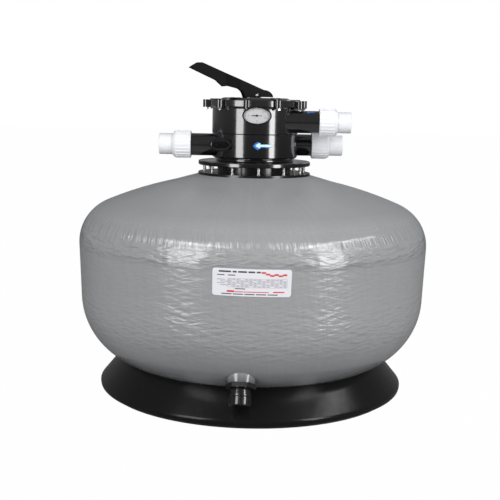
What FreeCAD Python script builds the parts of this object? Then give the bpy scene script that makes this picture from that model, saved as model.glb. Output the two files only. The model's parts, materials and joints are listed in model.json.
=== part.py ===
import FreeCAD, Part
import math
import os

V = FreeCAD.Vector

# Sand filter with a top-mounted six-way valve. Millimetres, +Z up, origin on the tank's axis at floor level.
# The drain and the gauge face -Y; the waste port points to -X and the pump and return ports to +X.

# ---------------------------------------------------------------- driving dimensions
FIT = 0.3            # gap between round faces that fit in one another
SLIDE = 0.3          # gap between faces of pieces that move on one another

# tank: a wound shell with dished ends
TANK_R = 600.0
TANK_WALL = 6.0
TOP_KNUCKLE_R = 145.0
TOP_KNUCKLE_Z = 515.0
TOP_CROWN_R = 1310.0
FOOT_KNUCKLE_R = 244.0
FOOT_KNUCKLE_Z = 336.0
FOOT_KNUCKLE_INSET = 251.0      # how far inside the tank's side the lower knuckle's centre lies
FOOT_CROWN_R = 1250.0
MOUTH_R = 118.0

# base skirt
SKIRT_INSET = 144.0             # how far inside the tank's side its upper edge lies
SKIRT_SEAT_W = 41.0
SKIRT_SPREAD = 73.0             # from the upper edge out to the rim
SKIRT_RIM_Z = 28.6
SKIRT_HEEL_Z = 14.0
SKIRT_HEEL_IN = 2.0             # inside the rim
SKIRT_FOOT_IN = 24.0
SKIRT_WALL = 6.0
SKIRT_CREASE_R = 10.0
SKIRT_OVERRUN = 0.15             # how far the slope runs on into the tank before the seat is cut

# neck flange of the tank and its twelve bolts
NECK_FLANGE_R = 193.5
NECK_FLANGE_H = 30.0
NECK_RISE = 2.47                # how far the flange's face lies above the dome's peak
NECK_SPIGOT_L = 60.0
NECK_BORE_R = 105.0
NECK_LAND_R = 310.0             # the shell rises round the flange from this radius
NECK_LAND_DOWN = 8.0            # how far that rise ends below the flange's face
COLLAR_R = 127.0
FLANGE_GAP = 25.0               # between the tank's flange and the valve's
BOLT_COUNT = 12
BOLT_CIRCLE_IN = 21.5           # inside the flange's edge
BOLT_PHASE = 5.0
BOLT_R = 5.0
BOLT_HEAD_AF = 17.0
BOLT_HEAD_H = 6.5
WASHER_R = 11.0
WASHER_H = 2.0
POCKET_GAP = 1.0                # round the washer in its pocket
POCKET_SPARE = 0.5              # how far the head stays below the flange's face
INSERT_R = 8.0
INSERT_H = 12.0
SEAL_H = 3.0

# valve body, in two halves
VALVE_FLANGE_H = 14.0
VALVE_NECK_IN = 13.0
VALVE_NECK_H = 13.0
VALVE_R = 147.0
VALVE_WALL = 8.0
LOWER_BODY_H = 81.0
UPPER_BODY_H = 98.0
JOINT_BEVEL = 1.8               # bevel on the rim of each half where they meet
PLATE_H = 12.0                  # plate with the six wedge ports
PLATE_SUNK = 4.0                # how far the plate lies below the joint of the halves
PORT_COUNT = 6
PORT_WEB = 7.0
PORT_RIM_W = 11.0               # between the wedge ports and the bore
CENTRE_TUBE_R = 38.0
CENTRE_TUBE_DROP = 55.0         # how far the centre tube reaches below the valve's flange
SPIDER_H = 3.0

# lid with its bolt ears
LID_RIM_OUT = 13.0              # beyond the body's side
LID_EAR_COUNT = 10
LID_EAR_PHASE = -9.0
LID_EAR_OUT = 21.0
LID_EAR_R = 12.5
LID_RIM_H = 15.0
BODY_EAR_H = 11.0
LID_CROWN_IN = 33.0
LID_CROWN_RISE = 8.0
LID_WELL_R = 64.0
LID_WELL_DEPTH = 21.0
LID_WEB = 8.0
LID_HUB_R = 26.0
LID_HUB_H = 20.0
LID_SCREW_R = 4.0
LID_SCREW_HEAD_R = 6.5
LID_NUT_AF = 13.0
LID_NUT_H = 5.5
NOTCH_W = 14.0
NOTCH_DEPTH = 2.5

# selector: rotor, spring, lever
ROTOR_GAP = 6.0                 # round the rotor
ROTOR_H = 20.0
ROTOR_HUB_R = 30.0
ROTOR_HUB_H = 40.0
STEM_R = 14.0
STEM_FLAT = 17.0                # thickness of the stem between its flats
PIN_RISE = 10.0                 # above the lid's crown
PIN_R = 5.0
LIFT = 6.4
WASHER_CAM_R = 46.0
WASHER_CAM_H = 3.7
CAM_R = 24.0
CAM_OFFSET = 20.5
PRESS_ANGLE = 18.0
LEVER_TURN = 15.0
LEVER_W = 44.0
LEVER_TIP_W = 30.0
LEVER_SLOT = 18.0
LEVER_WALL = 5.0
LEVER_HEEL_GAP = 3.0
LEVER_CHANNEL_H = 9.0
LEVER_SIDE = {                  # outline from the pin's axis: (along, up)
    "shoulder": (24, 17), "knee": (48, 9), "throat": (-69, 22), "throat_mid": (-50, 11),
    "nub_in": (-99, 28.5), "nub_out": (-117, 26), "grip": (-141, 47),
    "tip_low": (-233, 87.5), "tip_high": (-206, 104), "tip_top": (-190, 104.5),
}
LEVER_WAIST = (-60, -110)       # where the fork narrows, and ends
LEVER_NOSE = -222
LEVER_HEEL = 40
SPRING_R = 22.0
SPRING_WIRE_R = 2.6
SPRING_TURNS = 4.5
SPRING_WASHER_H = 2.0

# ports: height, offset from the axis, direction, distance to the nut's near edge
PORT_R = 37.5
PORT_BORE_R = 31.0
PORTS = {
    "waste": {"side": -1, "offset": -50.0, "above_joint": -39.0, "reach": 216.0, "root_r": 37.5},
    "pump": {"side": 1, "offset": -65.0, "above_joint": 43.0, "reach": 216.0, "root_r": 45.0},
    "return": {"side": 1, "offset": 45.0, "above_joint": -39.0, "reach": 198.0, "root_r": 37.5},
}

# pipe unions for 63 mm pipe
UNION_THREAD_R = 41.0
UNION_THREAD_L = 31.0
UNION_NUT_R = 45.2
UNION_NUT_L = 61.0
UNION_LIP_L = 17.0
UNION_RIBS = 24
UNION_RIB_H = 1.6
TAIL_COLLAR_L = 9.5
TAIL_R = 35.5
TAIL_OUT = 47.0                 # how far the socket stands out of the nut
TAIL_BORE_R = 28.0
SOCKET_R = 31.6
SOCKET_L = 38.0

# gauge and sight glass
GAUGE_X = 6.0
GAUGE_DOWN = 35.0               # below the lid
GAUGE_HALF_W = 48.0
GAUGE_HALF_H = 30.0
GAUGE_BACK_SHARE = 0.76         # the case's back against its front ring
GAUGE_OUT = 43.0                # of its face, beyond the body's side
GAUGE_RING_L = 9.5
GAUGE_FLOOR = 1.5
GAUGE_RING_WALL = 3.0
GAUGE_BACK_OUT = 5.0
DIAL_H = 1.0
LENS_H = 2.0
NEEDLE_REACH = 21.0
NEEDLE_GAP = 0.5
ARBOR_R = 1.5
GAUGE_STEM_R = 7.0
SIGHT_IN = 33.0                 # of its axis, inside the body's side
SIGHT_DOWN = 36.0               # below the joint of the halves
SIGHT_HALF_W = 33.0
SIGHT_HALF_H = 17.5
SIGHT_FACE_IN = 17.0
SIGHT_WALL = 4.0
SIGHT_SEAT_L = 6.0
SIGHT_LEDGE = 4.0
SIGHT_DOME_R = 120.0
SIGHT_SEAL_H = 2.0

# inside the tank
PIPE_R = 31.5
PIPE_WALL = 3.0
HUB_R = 52.0
HUB_Z = 150.0
HUB_HALF_H = 40.0
LATERAL_COUNT = 8
LATERAL_R = 16.0
LATERAL_WALL = 2.5
LATERAL_REACH = 400.0
LATERAL_SLOTS = 6
DIFFUSER_R = 92.0
DIFFUSER_H = 60.0
DIFFUSER_WALL = 3.0
DIFFUSER_SLOTS = 12
AIR_TUBE_R = 5.0
AIR_TUBE_AT = 45.0              # distance of the air tube from the axis

# drain
DRAIN_AZIMUTH = -3.0
DRAIN_INSET = 92.0              # how far inside the tank's side its axis leaves the shell
DRAIN_LEAN = 12.5               # degrees from the shell's normal towards the floor
DRAIN_BOSS_R = 41.0
DRAIN_BOSS_FLARE = 0.25         # growth of the boss's radius per millimetre towards the tank
DRAIN_BOSS_OUT = 9.5
DRAIN_BOSS_IN = 27.0
DRAIN_PIPE_R = 25.0
DRAIN_BORE_R = 19.0
DRAIN_NUT_AF = 82.0
DRAIN_NUT_H = 15.0
DRAIN_ADAPTER_H = 26.0
DRAIN_ADAPTER_R = 34.5
DRAIN_CAP_H = 28.0
DRAIN_CAP_R = 33.5
DRAIN_CAP_WALL = 5.0
DRAIN_SPIGOT_L = 17.0
DRAIN_SCREEN_L = 60.0
DRAIN_SCREEN_SLOTS = 8
DRAIN_FLANGE_H = 8.0

# ---------------------------------------------------------------- sizes that follow
FOOT_KNUCKLE_REACH = TANK_R - FOOT_KNUCKLE_INSET
DOME_DROP = math.sqrt((TOP_CROWN_R - TOP_KNUCKLE_R) ** 2 - (TANK_R - TOP_KNUCKLE_R) ** 2)
NECK_FLANGE_TOP = TOP_KNUCKLE_Z - DOME_DROP + TOP_CROWN_R + NECK_RISE
NECK_FOOT = NECK_FLANGE_TOP - NECK_SPIGOT_L
BOLT_CIRCLE_R = NECK_FLANGE_R - BOLT_CIRCLE_IN
SKIRT_TOP_R = TANK_R - SKIRT_INSET
SKIRT_SEAT_R = SKIRT_TOP_R - SKIRT_SEAT_W
SKIRT_RIM_R = SKIRT_TOP_R + SKIRT_SPREAD
DRAIN_REACH = TANK_R - DRAIN_INSET
VALVE_FLANGE_R = NECK_FLANGE_R - 0.5
VALVE_NECK_R = VALVE_R - VALVE_NECK_IN
BORE_R = VALVE_R - VALVE_WALL
PORT_RIM_R = BORE_R - PORT_RIM_W
ROTOR_R = BORE_R - ROTOR_GAP
LID_RIM_R = VALVE_R + LID_RIM_OUT
LID_EAR_CIRCLE_R = VALVE_R + LID_EAR_OUT
LID_CROWN_R = VALVE_R - LID_CROWN_IN
COLLAR_TOP = NECK_FLANGE_TOP + FLANGE_GAP - SEAL_H
VALVE_Z = NECK_FLANGE_TOP + FLANGE_GAP
CHAMBER_Z = VALVE_Z + VALVE_FLANGE_H + VALVE_NECK_H
GASKET_R = VALVE_R - 2 * JOINT_BEVEL
POCKET_Z = VALVE_Z + VALVE_FLANGE_H - WASHER_H - BOLT_HEAD_H - POCKET_SPARE
JOINT_Z = CHAMBER_Z + LOWER_BODY_H
PLATE_TOP = JOINT_Z - PLATE_SUNK
LID_Z = JOINT_Z + UPPER_BODY_H
LID_TOP = LID_Z + LID_RIM_H
CROWN_TOP = LID_TOP + LID_CROWN_RISE
WELL_Z = CROWN_TOP - LID_WELL_DEPTH
PIN_Z = CROWN_TOP + PIN_RISE
GAUGE_Z = LID_Z - GAUGE_DOWN
GAUGE_FACE_Y = -VALVE_R - GAUGE_OUT
GAUGE_BACK_Y = -VALVE_R - GAUGE_BACK_OUT
SIGHT_X = SIGHT_IN - VALVE_R
SIGHT_Z = JOINT_Z - SIGHT_DOWN
SIGHT_FACE_Y = SIGHT_FACE_IN - VALVE_R
ROTOR_Z = PLATE_TOP + SPIDER_H + SLIDE
DRAIN_SPIGOT_R = DRAIN_CAP_R - DRAIN_CAP_WALL - SLIDE
DRAIN_CAP_Z = DRAIN_NUT_H + DRAIN_ADAPTER_H + SLIDE
DRAIN_SEAL_Z = DRAIN_NUT_H + DRAIN_ADAPTER_H + DRAIN_SPIGOT_L + SLIDE


# ---------------------------------------------------------------- helpers
def tube(r_out, r_in, z0, z1):
    """Ring about the Z axis."""
    body = Part.makeCylinder(r_out, z1 - z0, V(0, 0, z0))
    if r_in <= 0:
        return body
    return body.cut(Part.makeCylinder(r_in, z1 - z0 + 2, V(0, 0, z0 - 1)))


def turned(points):
    """Solid turned about Z from a closed outline of (radius, height) points."""
    corners = [V(r, 0, z) for r, z in points]
    face = Part.Face(Part.makePolygon(corners + corners[:1]))
    return face.revolve(V(0, 0, 0), V(0, 0, 1), 360)


def turned_edges(edges):
    """Solid turned about Z from a closed chain of edges."""
    face = Part.Face(Part.Wire(edges))
    return face.revolve(V(0, 0, 0), V(0, 0, 1), 360)


def line(a, b):
    return Part.makeLine(a, b)


def on_circle(centre, radius, angle):
    """Point in the XZ plane, at an angle above the outward direction."""
    return V(centre[0] + radius * math.cos(angle), 0, centre[1] + radius * math.sin(angle))


def arc(centre, radius, start, end):
    """Arc in the XZ plane between two angles."""
    angles = (start, (start + end) / 2, end)
    return Part.Arc(*[on_circle(centre, radius, a) for a in angles]).toShape()


def placed(shape, origin, direction):
    """Copy of a shape built along +Z, moved to an origin and turned to a direction."""
    copy = shape.copy()
    copy.Placement = FreeCAD.Placement(origin, FreeCAD.Rotation(V(0, 0, 1), direction))
    return copy


def spun(shape, degrees):
    """Copy of a shape turned about the Z axis."""
    copy = shape.copy()
    copy.rotate(V(0, 0, 0), V(0, 0, 1), degrees)
    return copy


def round_pattern(shape, count, phase=0.0):
    return [spun(shape, phase + 360.0 * i / count) for i in range(count)]


def hexagon(across_flats, height, z0):
    """Hexagonal prism about Z."""
    radius = across_flats / math.sqrt(3)
    corners = [V(radius * math.cos(math.radians(60 * i)), radius * math.sin(math.radians(60 * i)), z0)
               for i in range(7)]
    return Part.Face(Part.makePolygon(corners)).extrude(V(0, 0, height))


def box(x0, x1, y0, y1, z0, z1):
    return Part.makeBox(x1 - x0, y1 - y0, z1 - z0, V(x0, y0, z0))


def fuse(shapes):
    """One solid from pieces that are moulded together."""
    return shapes[0].multiFuse(shapes[1:]).removeSplitter()


def oval(half_w, half_h, y0, y1, x, z):
    """Oval prism along Y."""
    ellipse = Part.Ellipse(V(x, y0, z), half_w, half_h)
    ellipse.Axis = V(0, -1, 0)
    ellipse.XAxis = V(1, 0, 0)
    return Part.Face(Part.Wire(ellipse.toShape())).extrude(V(0, y1 - y0, 0))


def save(name, *solids):
    """Write one node; its pieces stay separate solids."""
    pieces = [s for shape in solids for s in shape.Solids]
    shape = pieces[0] if len(pieces) == 1 else Part.makeCompound(pieces)
    shape.exportStep(os.path.join("parts", name + ".step"))


# ---------------------------------------------------------------- tank shell
FOOT_CENTRE = (FOOT_KNUCKLE_REACH, FOOT_KNUCKLE_Z)
TOP_CENTRE = (TANK_R - TOP_KNUCKLE_R, TOP_KNUCKLE_Z)


def crown_centre(knuckle, knuckle_r, crown_r, upward):
    """Centre on the axis of the dish that runs into a knuckle."""
    drop = math.sqrt((crown_r - knuckle_r) ** 2 - knuckle[0] ** 2)
    return (0.0, knuckle[1] - upward * drop)


TOP_CROWN = crown_centre(TOP_CENTRE, TOP_KNUCKLE_R, TOP_CROWN_R, 1)
FOOT_CROWN = crown_centre(FOOT_CENTRE, FOOT_KNUCKLE_R, FOOT_CROWN_R, -1)


def wall_angle():
    """Angle of the wall's outward normal: the wall touches both knuckles."""
    dr = TOP_CENTRE[0] - FOOT_CENTRE[0]
    dz = TOP_CENTRE[1] - FOOT_CENTRE[1]
    return math.atan2(dz, dr) - math.acos((FOOT_KNUCKLE_R - TOP_KNUCKLE_R) / math.hypot(dr, dz))


def tank_side(inset, mouth_r):
    """Edges from the mouth down to the axis, set in from the outer surface."""
    crown_r, top_r = TOP_CROWN_R - inset, TOP_KNUCKLE_R - inset
    foot_r, foot_crown_r = FOOT_KNUCKLE_R - inset, FOOT_CROWN_R - inset
    mouth = math.acos(mouth_r / crown_r)
    shoulder = math.atan2(TOP_CENTRE[1] - TOP_CROWN[1], TOP_CENTRE[0])
    side = wall_angle()
    heel = math.atan2(FOOT_CENTRE[1] - FOOT_CROWN[1], FOOT_CENTRE[0])
    return [
        arc(TOP_CROWN, crown_r, mouth, shoulder),
        arc(TOP_CENTRE, top_r, shoulder, side),
        line(on_circle(TOP_CENTRE, top_r, side), on_circle(FOOT_CENTRE, foot_r, side)),
        arc(FOOT_CENTRE, foot_r, side, heel),
        arc(FOOT_CROWN, foot_crown_r, heel, -math.pi / 2),
    ]


def tank_solid(inset, mouth_r):
    """The tank's full form down to its axis, closed over the mouth."""
    side = tank_side(inset, mouth_r)
    top = on_circle(TOP_CROWN, TOP_CROWN_R - inset, math.acos(mouth_r / (TOP_CROWN_R - inset)))
    foot = on_circle(FOOT_CROWN, FOOT_CROWN_R - inset, -math.pi / 2)
    cap = V(0, 0, top.z)
    return turned_edges(side + [line(foot, cap), line(cap, top)])


def drain_frame():
    """Point where the drain's axis leaves the tank's outer surface, and the axis downwards."""
    normal = math.asin((DRAIN_REACH - FOOT_CENTRE[0]) / FOOT_KNUCKLE_R)
    depth = FOOT_KNUCKLE_R * math.cos(normal)
    tilt = normal - math.radians(DRAIN_LEAN)
    turn = math.radians(DRAIN_AZIMUTH)
    out = V(math.sin(turn), -math.cos(turn), 0)
    axis = out * math.sin(tilt) + V(0, 0, -math.cos(tilt))
    surface = out * DRAIN_REACH + V(0, 0, FOOT_CENTRE[1] - depth)
    return surface + axis * DRAIN_BOSS_OUT, axis


DRAIN_AT, DRAIN_AXIS = drain_frame()
DRAIN_INNER = -(DRAIN_BOSS_OUT + DRAIN_BOSS_IN)     # plane of the boss inside the tank


def at_drain(shape):
    """Move a shape built along the drain's axis; zero is the boss's outer face."""
    return placed(shape, DRAIN_AT, DRAIN_AXIS)


def dome_z(radius):
    return TOP_CROWN[1] + math.sqrt(TOP_CROWN_R ** 2 - radius ** 2)


def neck_land():
    """Extra windings round the neck flange, on which the shell rises to it."""
    inner_r = NECK_FLANGE_R + FIT
    return turned([(inner_r, NECK_FLANGE_TOP - NECK_LAND_DOWN), (inner_r, dome_z(inner_r) - TANK_WALL * 0.7),
                   (NECK_LAND_R, dome_z(NECK_LAND_R) - TANK_WALL * 0.2)])


def tank_shell():
    outer = tank_solid(0.0, MOUTH_R)
    inner = tank_solid(TANK_WALL, MOUTH_R - 1)
    mouth = tube(MOUTH_R, 0, NECK_FOOT, NECK_FLANGE_TOP + 20)
    flare_r = DRAIN_BOSS_R - DRAIN_BOSS_FLARE * DRAIN_INNER
    flare = at_drain(Part.makeCone(flare_r, DRAIN_BOSS_R, -DRAIN_INNER, V(0, 0, DRAIN_INNER))).cut(inner)
    pad = at_drain(tube(DRAIN_BOSS_R, 0, DRAIN_INNER, 0))
    hole = at_drain(tube(DRAIN_PIPE_R + FIT, 0, DRAIN_INNER - 5, 5))
    shell = outer.cut(inner.fuse(mouth))
    return fuse([shell, neck_land(), flare, pad]).cut(hole)


# ---------------------------------------------------------------- base skirt
def seat_point(radius):
    """Point just below the tank's lower knuckle at a radius."""
    reach = FOOT_KNUCKLE_R + FIT
    return V(radius, 0, FOOT_CENTRE[1] - math.sqrt(reach ** 2 - (radius - FOOT_CENTRE[0]) ** 2))


def inner_corner(before, corner, after, inset):
    """Corner of an outline that turns left, moved so that both its sides lie that far inside."""
    u, w = (corner - before).normalize(), (after - corner).normalize()
    shift = V(-u.z - w.z, 0, u.x + w.x)
    return corner + shift * (inset / (1 + u.dot(w)))


def skirt_section(inset):
    """The ring turned from its section, set in from its outer surface; it runs on up into the tank."""
    rim = V(SKIRT_RIM_R, 0, SKIRT_RIM_Z)
    edge = seat_point(SKIRT_TOP_R)
    overrun = edge + (edge - rim) * SKIRT_OVERRUN
    corners = [V(SKIRT_SEAT_R, 0, overrun.z), V(SKIRT_SEAT_R, 0, 0), V(SKIRT_RIM_R - SKIRT_FOOT_IN, 0, 0),
               V(SKIRT_RIM_R - SKIRT_HEEL_IN, 0, SKIRT_HEEL_Z), rim, overrun]
    around = corners[-1:] + corners + corners[:1]
    moved = [inner_corner(around[i - 1], around[i], around[i + 1], inset) for i in range(1, len(around) - 1)]
    return turned([(p.x, p.z) for p in moved])


def base_skirt():
    """Blow-moulded ring with two walls, closed all round; its seat is cut to the tank's own form."""
    ring = skirt_section(0.0)
    circles = [e for e in ring.Edges if len(e.Vertexes) == 1]
    creases = [e for e in circles if 1 < e.Vertexes[0].Z < SKIRT_RIM_Z + 1]
    outside = ring.makeFillet(SKIRT_CREASE_R, creases).cut(tank_solid(-FIT, MOUTH_R))
    return outside.cut(skirt_section(SKIRT_WALL).cut(tank_solid(-FIT - SKIRT_WALL, MOUTH_R)))


# ---------------------------------------------------------------- tank neck and flange bolts
def tank_neck():
    top, collar = NECK_FLANGE_TOP, COLLAR_TOP
    foot, under = NECK_FOOT, top - NECK_FLANGE_H
    body = turned([(NECK_BORE_R, foot), (MOUTH_R - FIT, foot), (MOUTH_R - FIT, under),
                   (NECK_FLANGE_R, under), (NECK_FLANGE_R, top), (COLLAR_R, top),
                   (COLLAR_R, collar), (NECK_BORE_R, collar)])
    dome = Part.makeSphere(TOP_CROWN_R + FIT, V(0, 0, TOP_CROWN[1]))
    outside = tube(NECK_FLANGE_R + 1, MOUTH_R - FIT, under - 1, collar + 1)
    body = body.cut(dome.common(outside))
    socket = tube(INSERT_R + FIT / 3, 0, top - INSERT_H, top + 1)
    socket.translate(V(0, -BOLT_CIRCLE_R, 0))
    for hole in round_pattern(socket, BOLT_COUNT, BOLT_PHASE):
        body = body.cut(hole)
    return body


def bolt_set(shape):
    """Twelve copies on the flange's bolt circle."""
    shape.translate(V(0, -BOLT_CIRCLE_R, 0))
    return round_pattern(shape, BOLT_COUNT, BOLT_PHASE)


def flange_insert():
    top = NECK_FLANGE_TOP
    return tube(INSERT_R, BOLT_R + FIT / 3, top - INSERT_H + 0.2, top)


def flange_washer():
    return tube(WASHER_R, BOLT_R + FIT, POCKET_Z, POCKET_Z + WASHER_H)


def flange_bolt():
    z = POCKET_Z + WASHER_H
    shank = tube(BOLT_R, 0, NECK_FLANGE_TOP - INSERT_H + 1, z)
    head = hexagon(BOLT_HEAD_AF, BOLT_HEAD_H, z)
    bevel = Part.makeCone(BOLT_HEAD_AF * 0.5 + BOLT_HEAD_H, BOLT_HEAD_AF * 0.5, BOLT_HEAD_H, V(0, 0, z))
    return shank.fuse(head.common(bevel))


# ---------------------------------------------------------------- valve body
def port_axis(port):
    """Origin on the body's mid plane, and direction, of a port."""
    return V(0, port["offset"], JOINT_Z + port["above_joint"]), V(port["side"], 0, 0)


def at_port(shape, port, distance=0.0):
    """Move a shape built along +Z onto a port's axis, that far from the body's mid plane."""
    origin, direction = port_axis(port)
    return placed(shape, origin + direction * distance, direction)


def port_outside(port):
    """Tube with its threaded end and the flared root of a port."""
    start = BORE_R / 2
    face = port["reach"] + UNION_THREAD_L + 3
    body = tube(PORT_R, 0, start, face).fuse(tube(UNION_THREAD_R, 0, face - UNION_THREAD_L, face))
    if port["root_r"] > PORT_R:
        body = body.fuse(Part.makeCone(port["root_r"], PORT_R, VALVE_R - VALVE_WALL - start, V(0, 0, start)))
    return at_port(body, port)


def port_inside(port):
    """Bore of a port."""
    face = port["reach"] + UNION_THREAD_L + 3
    return at_port(tube(PORT_BORE_R, 0, BORE_R / 2, face + 1), port)


def wedge(r0, r1, z0, z1, half_gap):
    """One of six wedge spaces, centred on +X, with straight webs left between them."""
    reach = r1 * 1.2
    half = math.radians(180.0 / PORT_COUNT)
    tip = half_gap / math.sin(half)
    corners = [V(tip, 0, z0), V(tip + reach * math.cos(half), -reach * math.sin(half), z0),
               V(tip + reach * math.cos(half), reach * math.sin(half), z0)]
    prism = Part.Face(Part.makePolygon(corners + corners[:1])).extrude(V(0, 0, z1 - z0))
    return prism.common(tube(r1, r0, z0, z1))


def sight_boss(grow, y0, y1):
    return oval(SIGHT_HALF_W + grow, SIGHT_HALF_H + grow, y0, y1, SIGHT_X, SIGHT_Z)


def valve_body_lower():
    z = VALVE_Z
    neck_top = z + VALVE_FLANGE_H + VALVE_NECK_H
    outer = turned([(0, z), (VALVE_FLANGE_R - 2, z), (VALVE_FLANGE_R, z + 2),
                    (VALVE_FLANGE_R, z + VALVE_FLANGE_H - 2), (VALVE_FLANGE_R - 2, z + VALVE_FLANGE_H),
                    (VALVE_NECK_R + 4, z + VALVE_FLANGE_H), (VALVE_NECK_R, z + VALVE_FLANGE_H + 4),
                    (VALVE_NECK_R, neck_top - 6), (VALVE_R - 3, neck_top), (VALVE_R, neck_top + 4),
                    (VALVE_R, JOINT_Z - JOINT_BEVEL), (VALVE_R - JOINT_BEVEL, JOINT_Z), (0, JOINT_Z)])
    ports = [PORTS["waste"], PORTS["return"]]
    boss = sight_boss(SIGHT_WALL, SIGHT_FACE_Y, PORTS["waste"]["offset"])
    body = fuse([outer] + [port_outside(p) for p in ports] + [boss])
    body = body.cut(tube(BORE_R, 0, PLATE_TOP, JOINT_Z + 1))
    floor = z + VALVE_FLANGE_H
    opening = wedge(CENTRE_TUBE_R, PORT_RIM_R, floor, PLATE_TOP + 1, PORT_WEB / 2)
    for sector in round_pattern(opening, PORT_COUNT):
        body = body.cut(sector)
    inlet = wedge(CENTRE_TUBE_R, NECK_BORE_R - 5, z - 1, floor + 1, PORT_WEB / 2)
    body = body.cut(spun(inlet, 60)).cut(spun(inlet, 120))
    for port in ports:
        body = body.cut(port_inside(port))
    body = body.cut(sight_boss(0, SIGHT_FACE_Y - 20, SIGHT_FACE_Y + SIGHT_SEAT_L))
    body = body.cut(sight_boss(-SIGHT_LEDGE, SIGHT_FACE_Y, PORTS["waste"]["offset"] - PORT_R + VALVE_WALL))
    stub = tube(CENTRE_TUBE_R, 0, z - CENTRE_TUBE_DROP, z + 1)
    bore = tube(PIPE_R - PIPE_WALL, 0, z - CENTRE_TUBE_DROP - 1, PLATE_TOP - PLATE_H)
    socket = tube(PIPE_R + FIT, 0, z - CENTRE_TUBE_DROP - 1, z - 10)
    body = fuse([body, stub]).cut(bore).cut(socket)
    riser = box(0, CENTRE_TUBE_R + 10, -12, 12, floor + 10, PLATE_TOP - PLATE_H - 8)
    body = body.cut(spun(riser, -60))
    groove = tube(GASKET_R, BORE_R + 1.5, JOINT_Z - 1.5, JOINT_Z + 1)
    pocket = tube(WASHER_R + POCKET_GAP, 0, POCKET_Z, z + VALVE_FLANGE_H + 1)
    hole = tube(BOLT_R + FIT, 0, z - 1, z + VALVE_FLANGE_H).fuse(pocket)
    hole.translate(V(0, -BOLT_CIRCLE_R, 0))
    air = tube(AIR_TUBE_R + FIT, 0, z - 1, z + VALVE_FLANGE_H - 4)
    air.translate(V(-AIR_TUBE_AT, 0, 0))
    for cutter in [groove, air] + round_pattern(hole, BOLT_COUNT, BOLT_PHASE):
        body = body.cut(cutter)
    return body


def lid_ear(z0, z1):
    """Bolt ear with its web to the rim."""
    ear = tube(LID_EAR_R, 0, z0, z1)
    ear.translate(V(0, -LID_EAR_CIRCLE_R, 0))
    web = box(-LID_EAR_R, LID_EAR_R, -LID_EAR_CIRCLE_R, -(VALVE_R - 2), z0, z1)
    return ear.fuse(web)


def ear_hole(radius, z0, z1):
    hole = tube(radius, 0, z0, z1)
    hole.translate(V(0, -LID_EAR_CIRCLE_R, 0))
    return hole


def valve_body_upper():
    z = JOINT_Z
    pump = PORTS["pump"]
    shell = turned([(0, z), (VALVE_R - JOINT_BEVEL, z), (VALVE_R, z + JOINT_BEVEL),
                    (VALVE_R, LID_Z - BODY_EAR_H - 3),
                    (LID_RIM_R - 4, LID_Z - BODY_EAR_H + 3), (LID_RIM_R, LID_Z - 6),
                    (LID_RIM_R, LID_Z), (0, LID_Z)])
    ears = round_pattern(lid_ear(LID_Z - BODY_EAR_H, LID_Z), LID_EAR_COUNT, LID_EAR_PHASE)
    lug = tube(13, 0, 0, VALVE_R + 4)
    lug = placed(lug, V(GAUGE_X, 0, GAUGE_Z), V(0, -1, 0))
    body = fuse([shell, port_outside(pump), lug] + ears)
    body = body.cut(tube(BORE_R, 0, z - 1, LID_Z + 1)).cut(port_inside(pump))
    body = body.cut(tube(VALVE_R * 2, 0, z - pump["root_r"], z))
    tapping = tube(GAUGE_STEM_R + FIT / 3, 0, BORE_R - 10, VALVE_R + 10)
    tapping = placed(tapping, V(GAUGE_X, 0, GAUGE_Z), V(0, -1, 0))
    body = body.cut(tapping)
    screw_hole = ear_hole(LID_SCREW_R + FIT, LID_Z - 30, LID_Z + 1)
    for hole in round_pattern(screw_hole, LID_EAR_COUNT, LID_EAR_PHASE):
        body = body.cut(hole)
    return body


def body_gasket():
    return tube(GASKET_R - FIT, BORE_R + 1.5 + FIT, JOINT_Z - 1.5, JOINT_Z)


def spider_gasket():
    z0, z1 = PLATE_TOP, PLATE_TOP + SPIDER_H
    disc = tube(PORT_RIM_R + 5, 0, z0, z1)
    for space in round_pattern(wedge(CENTRE_TUBE_R, PORT_RIM_R, z0 - 1, z1 + 1, PORT_WEB / 2), PORT_COUNT):
        disc = disc.cut(space)
    return disc


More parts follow.
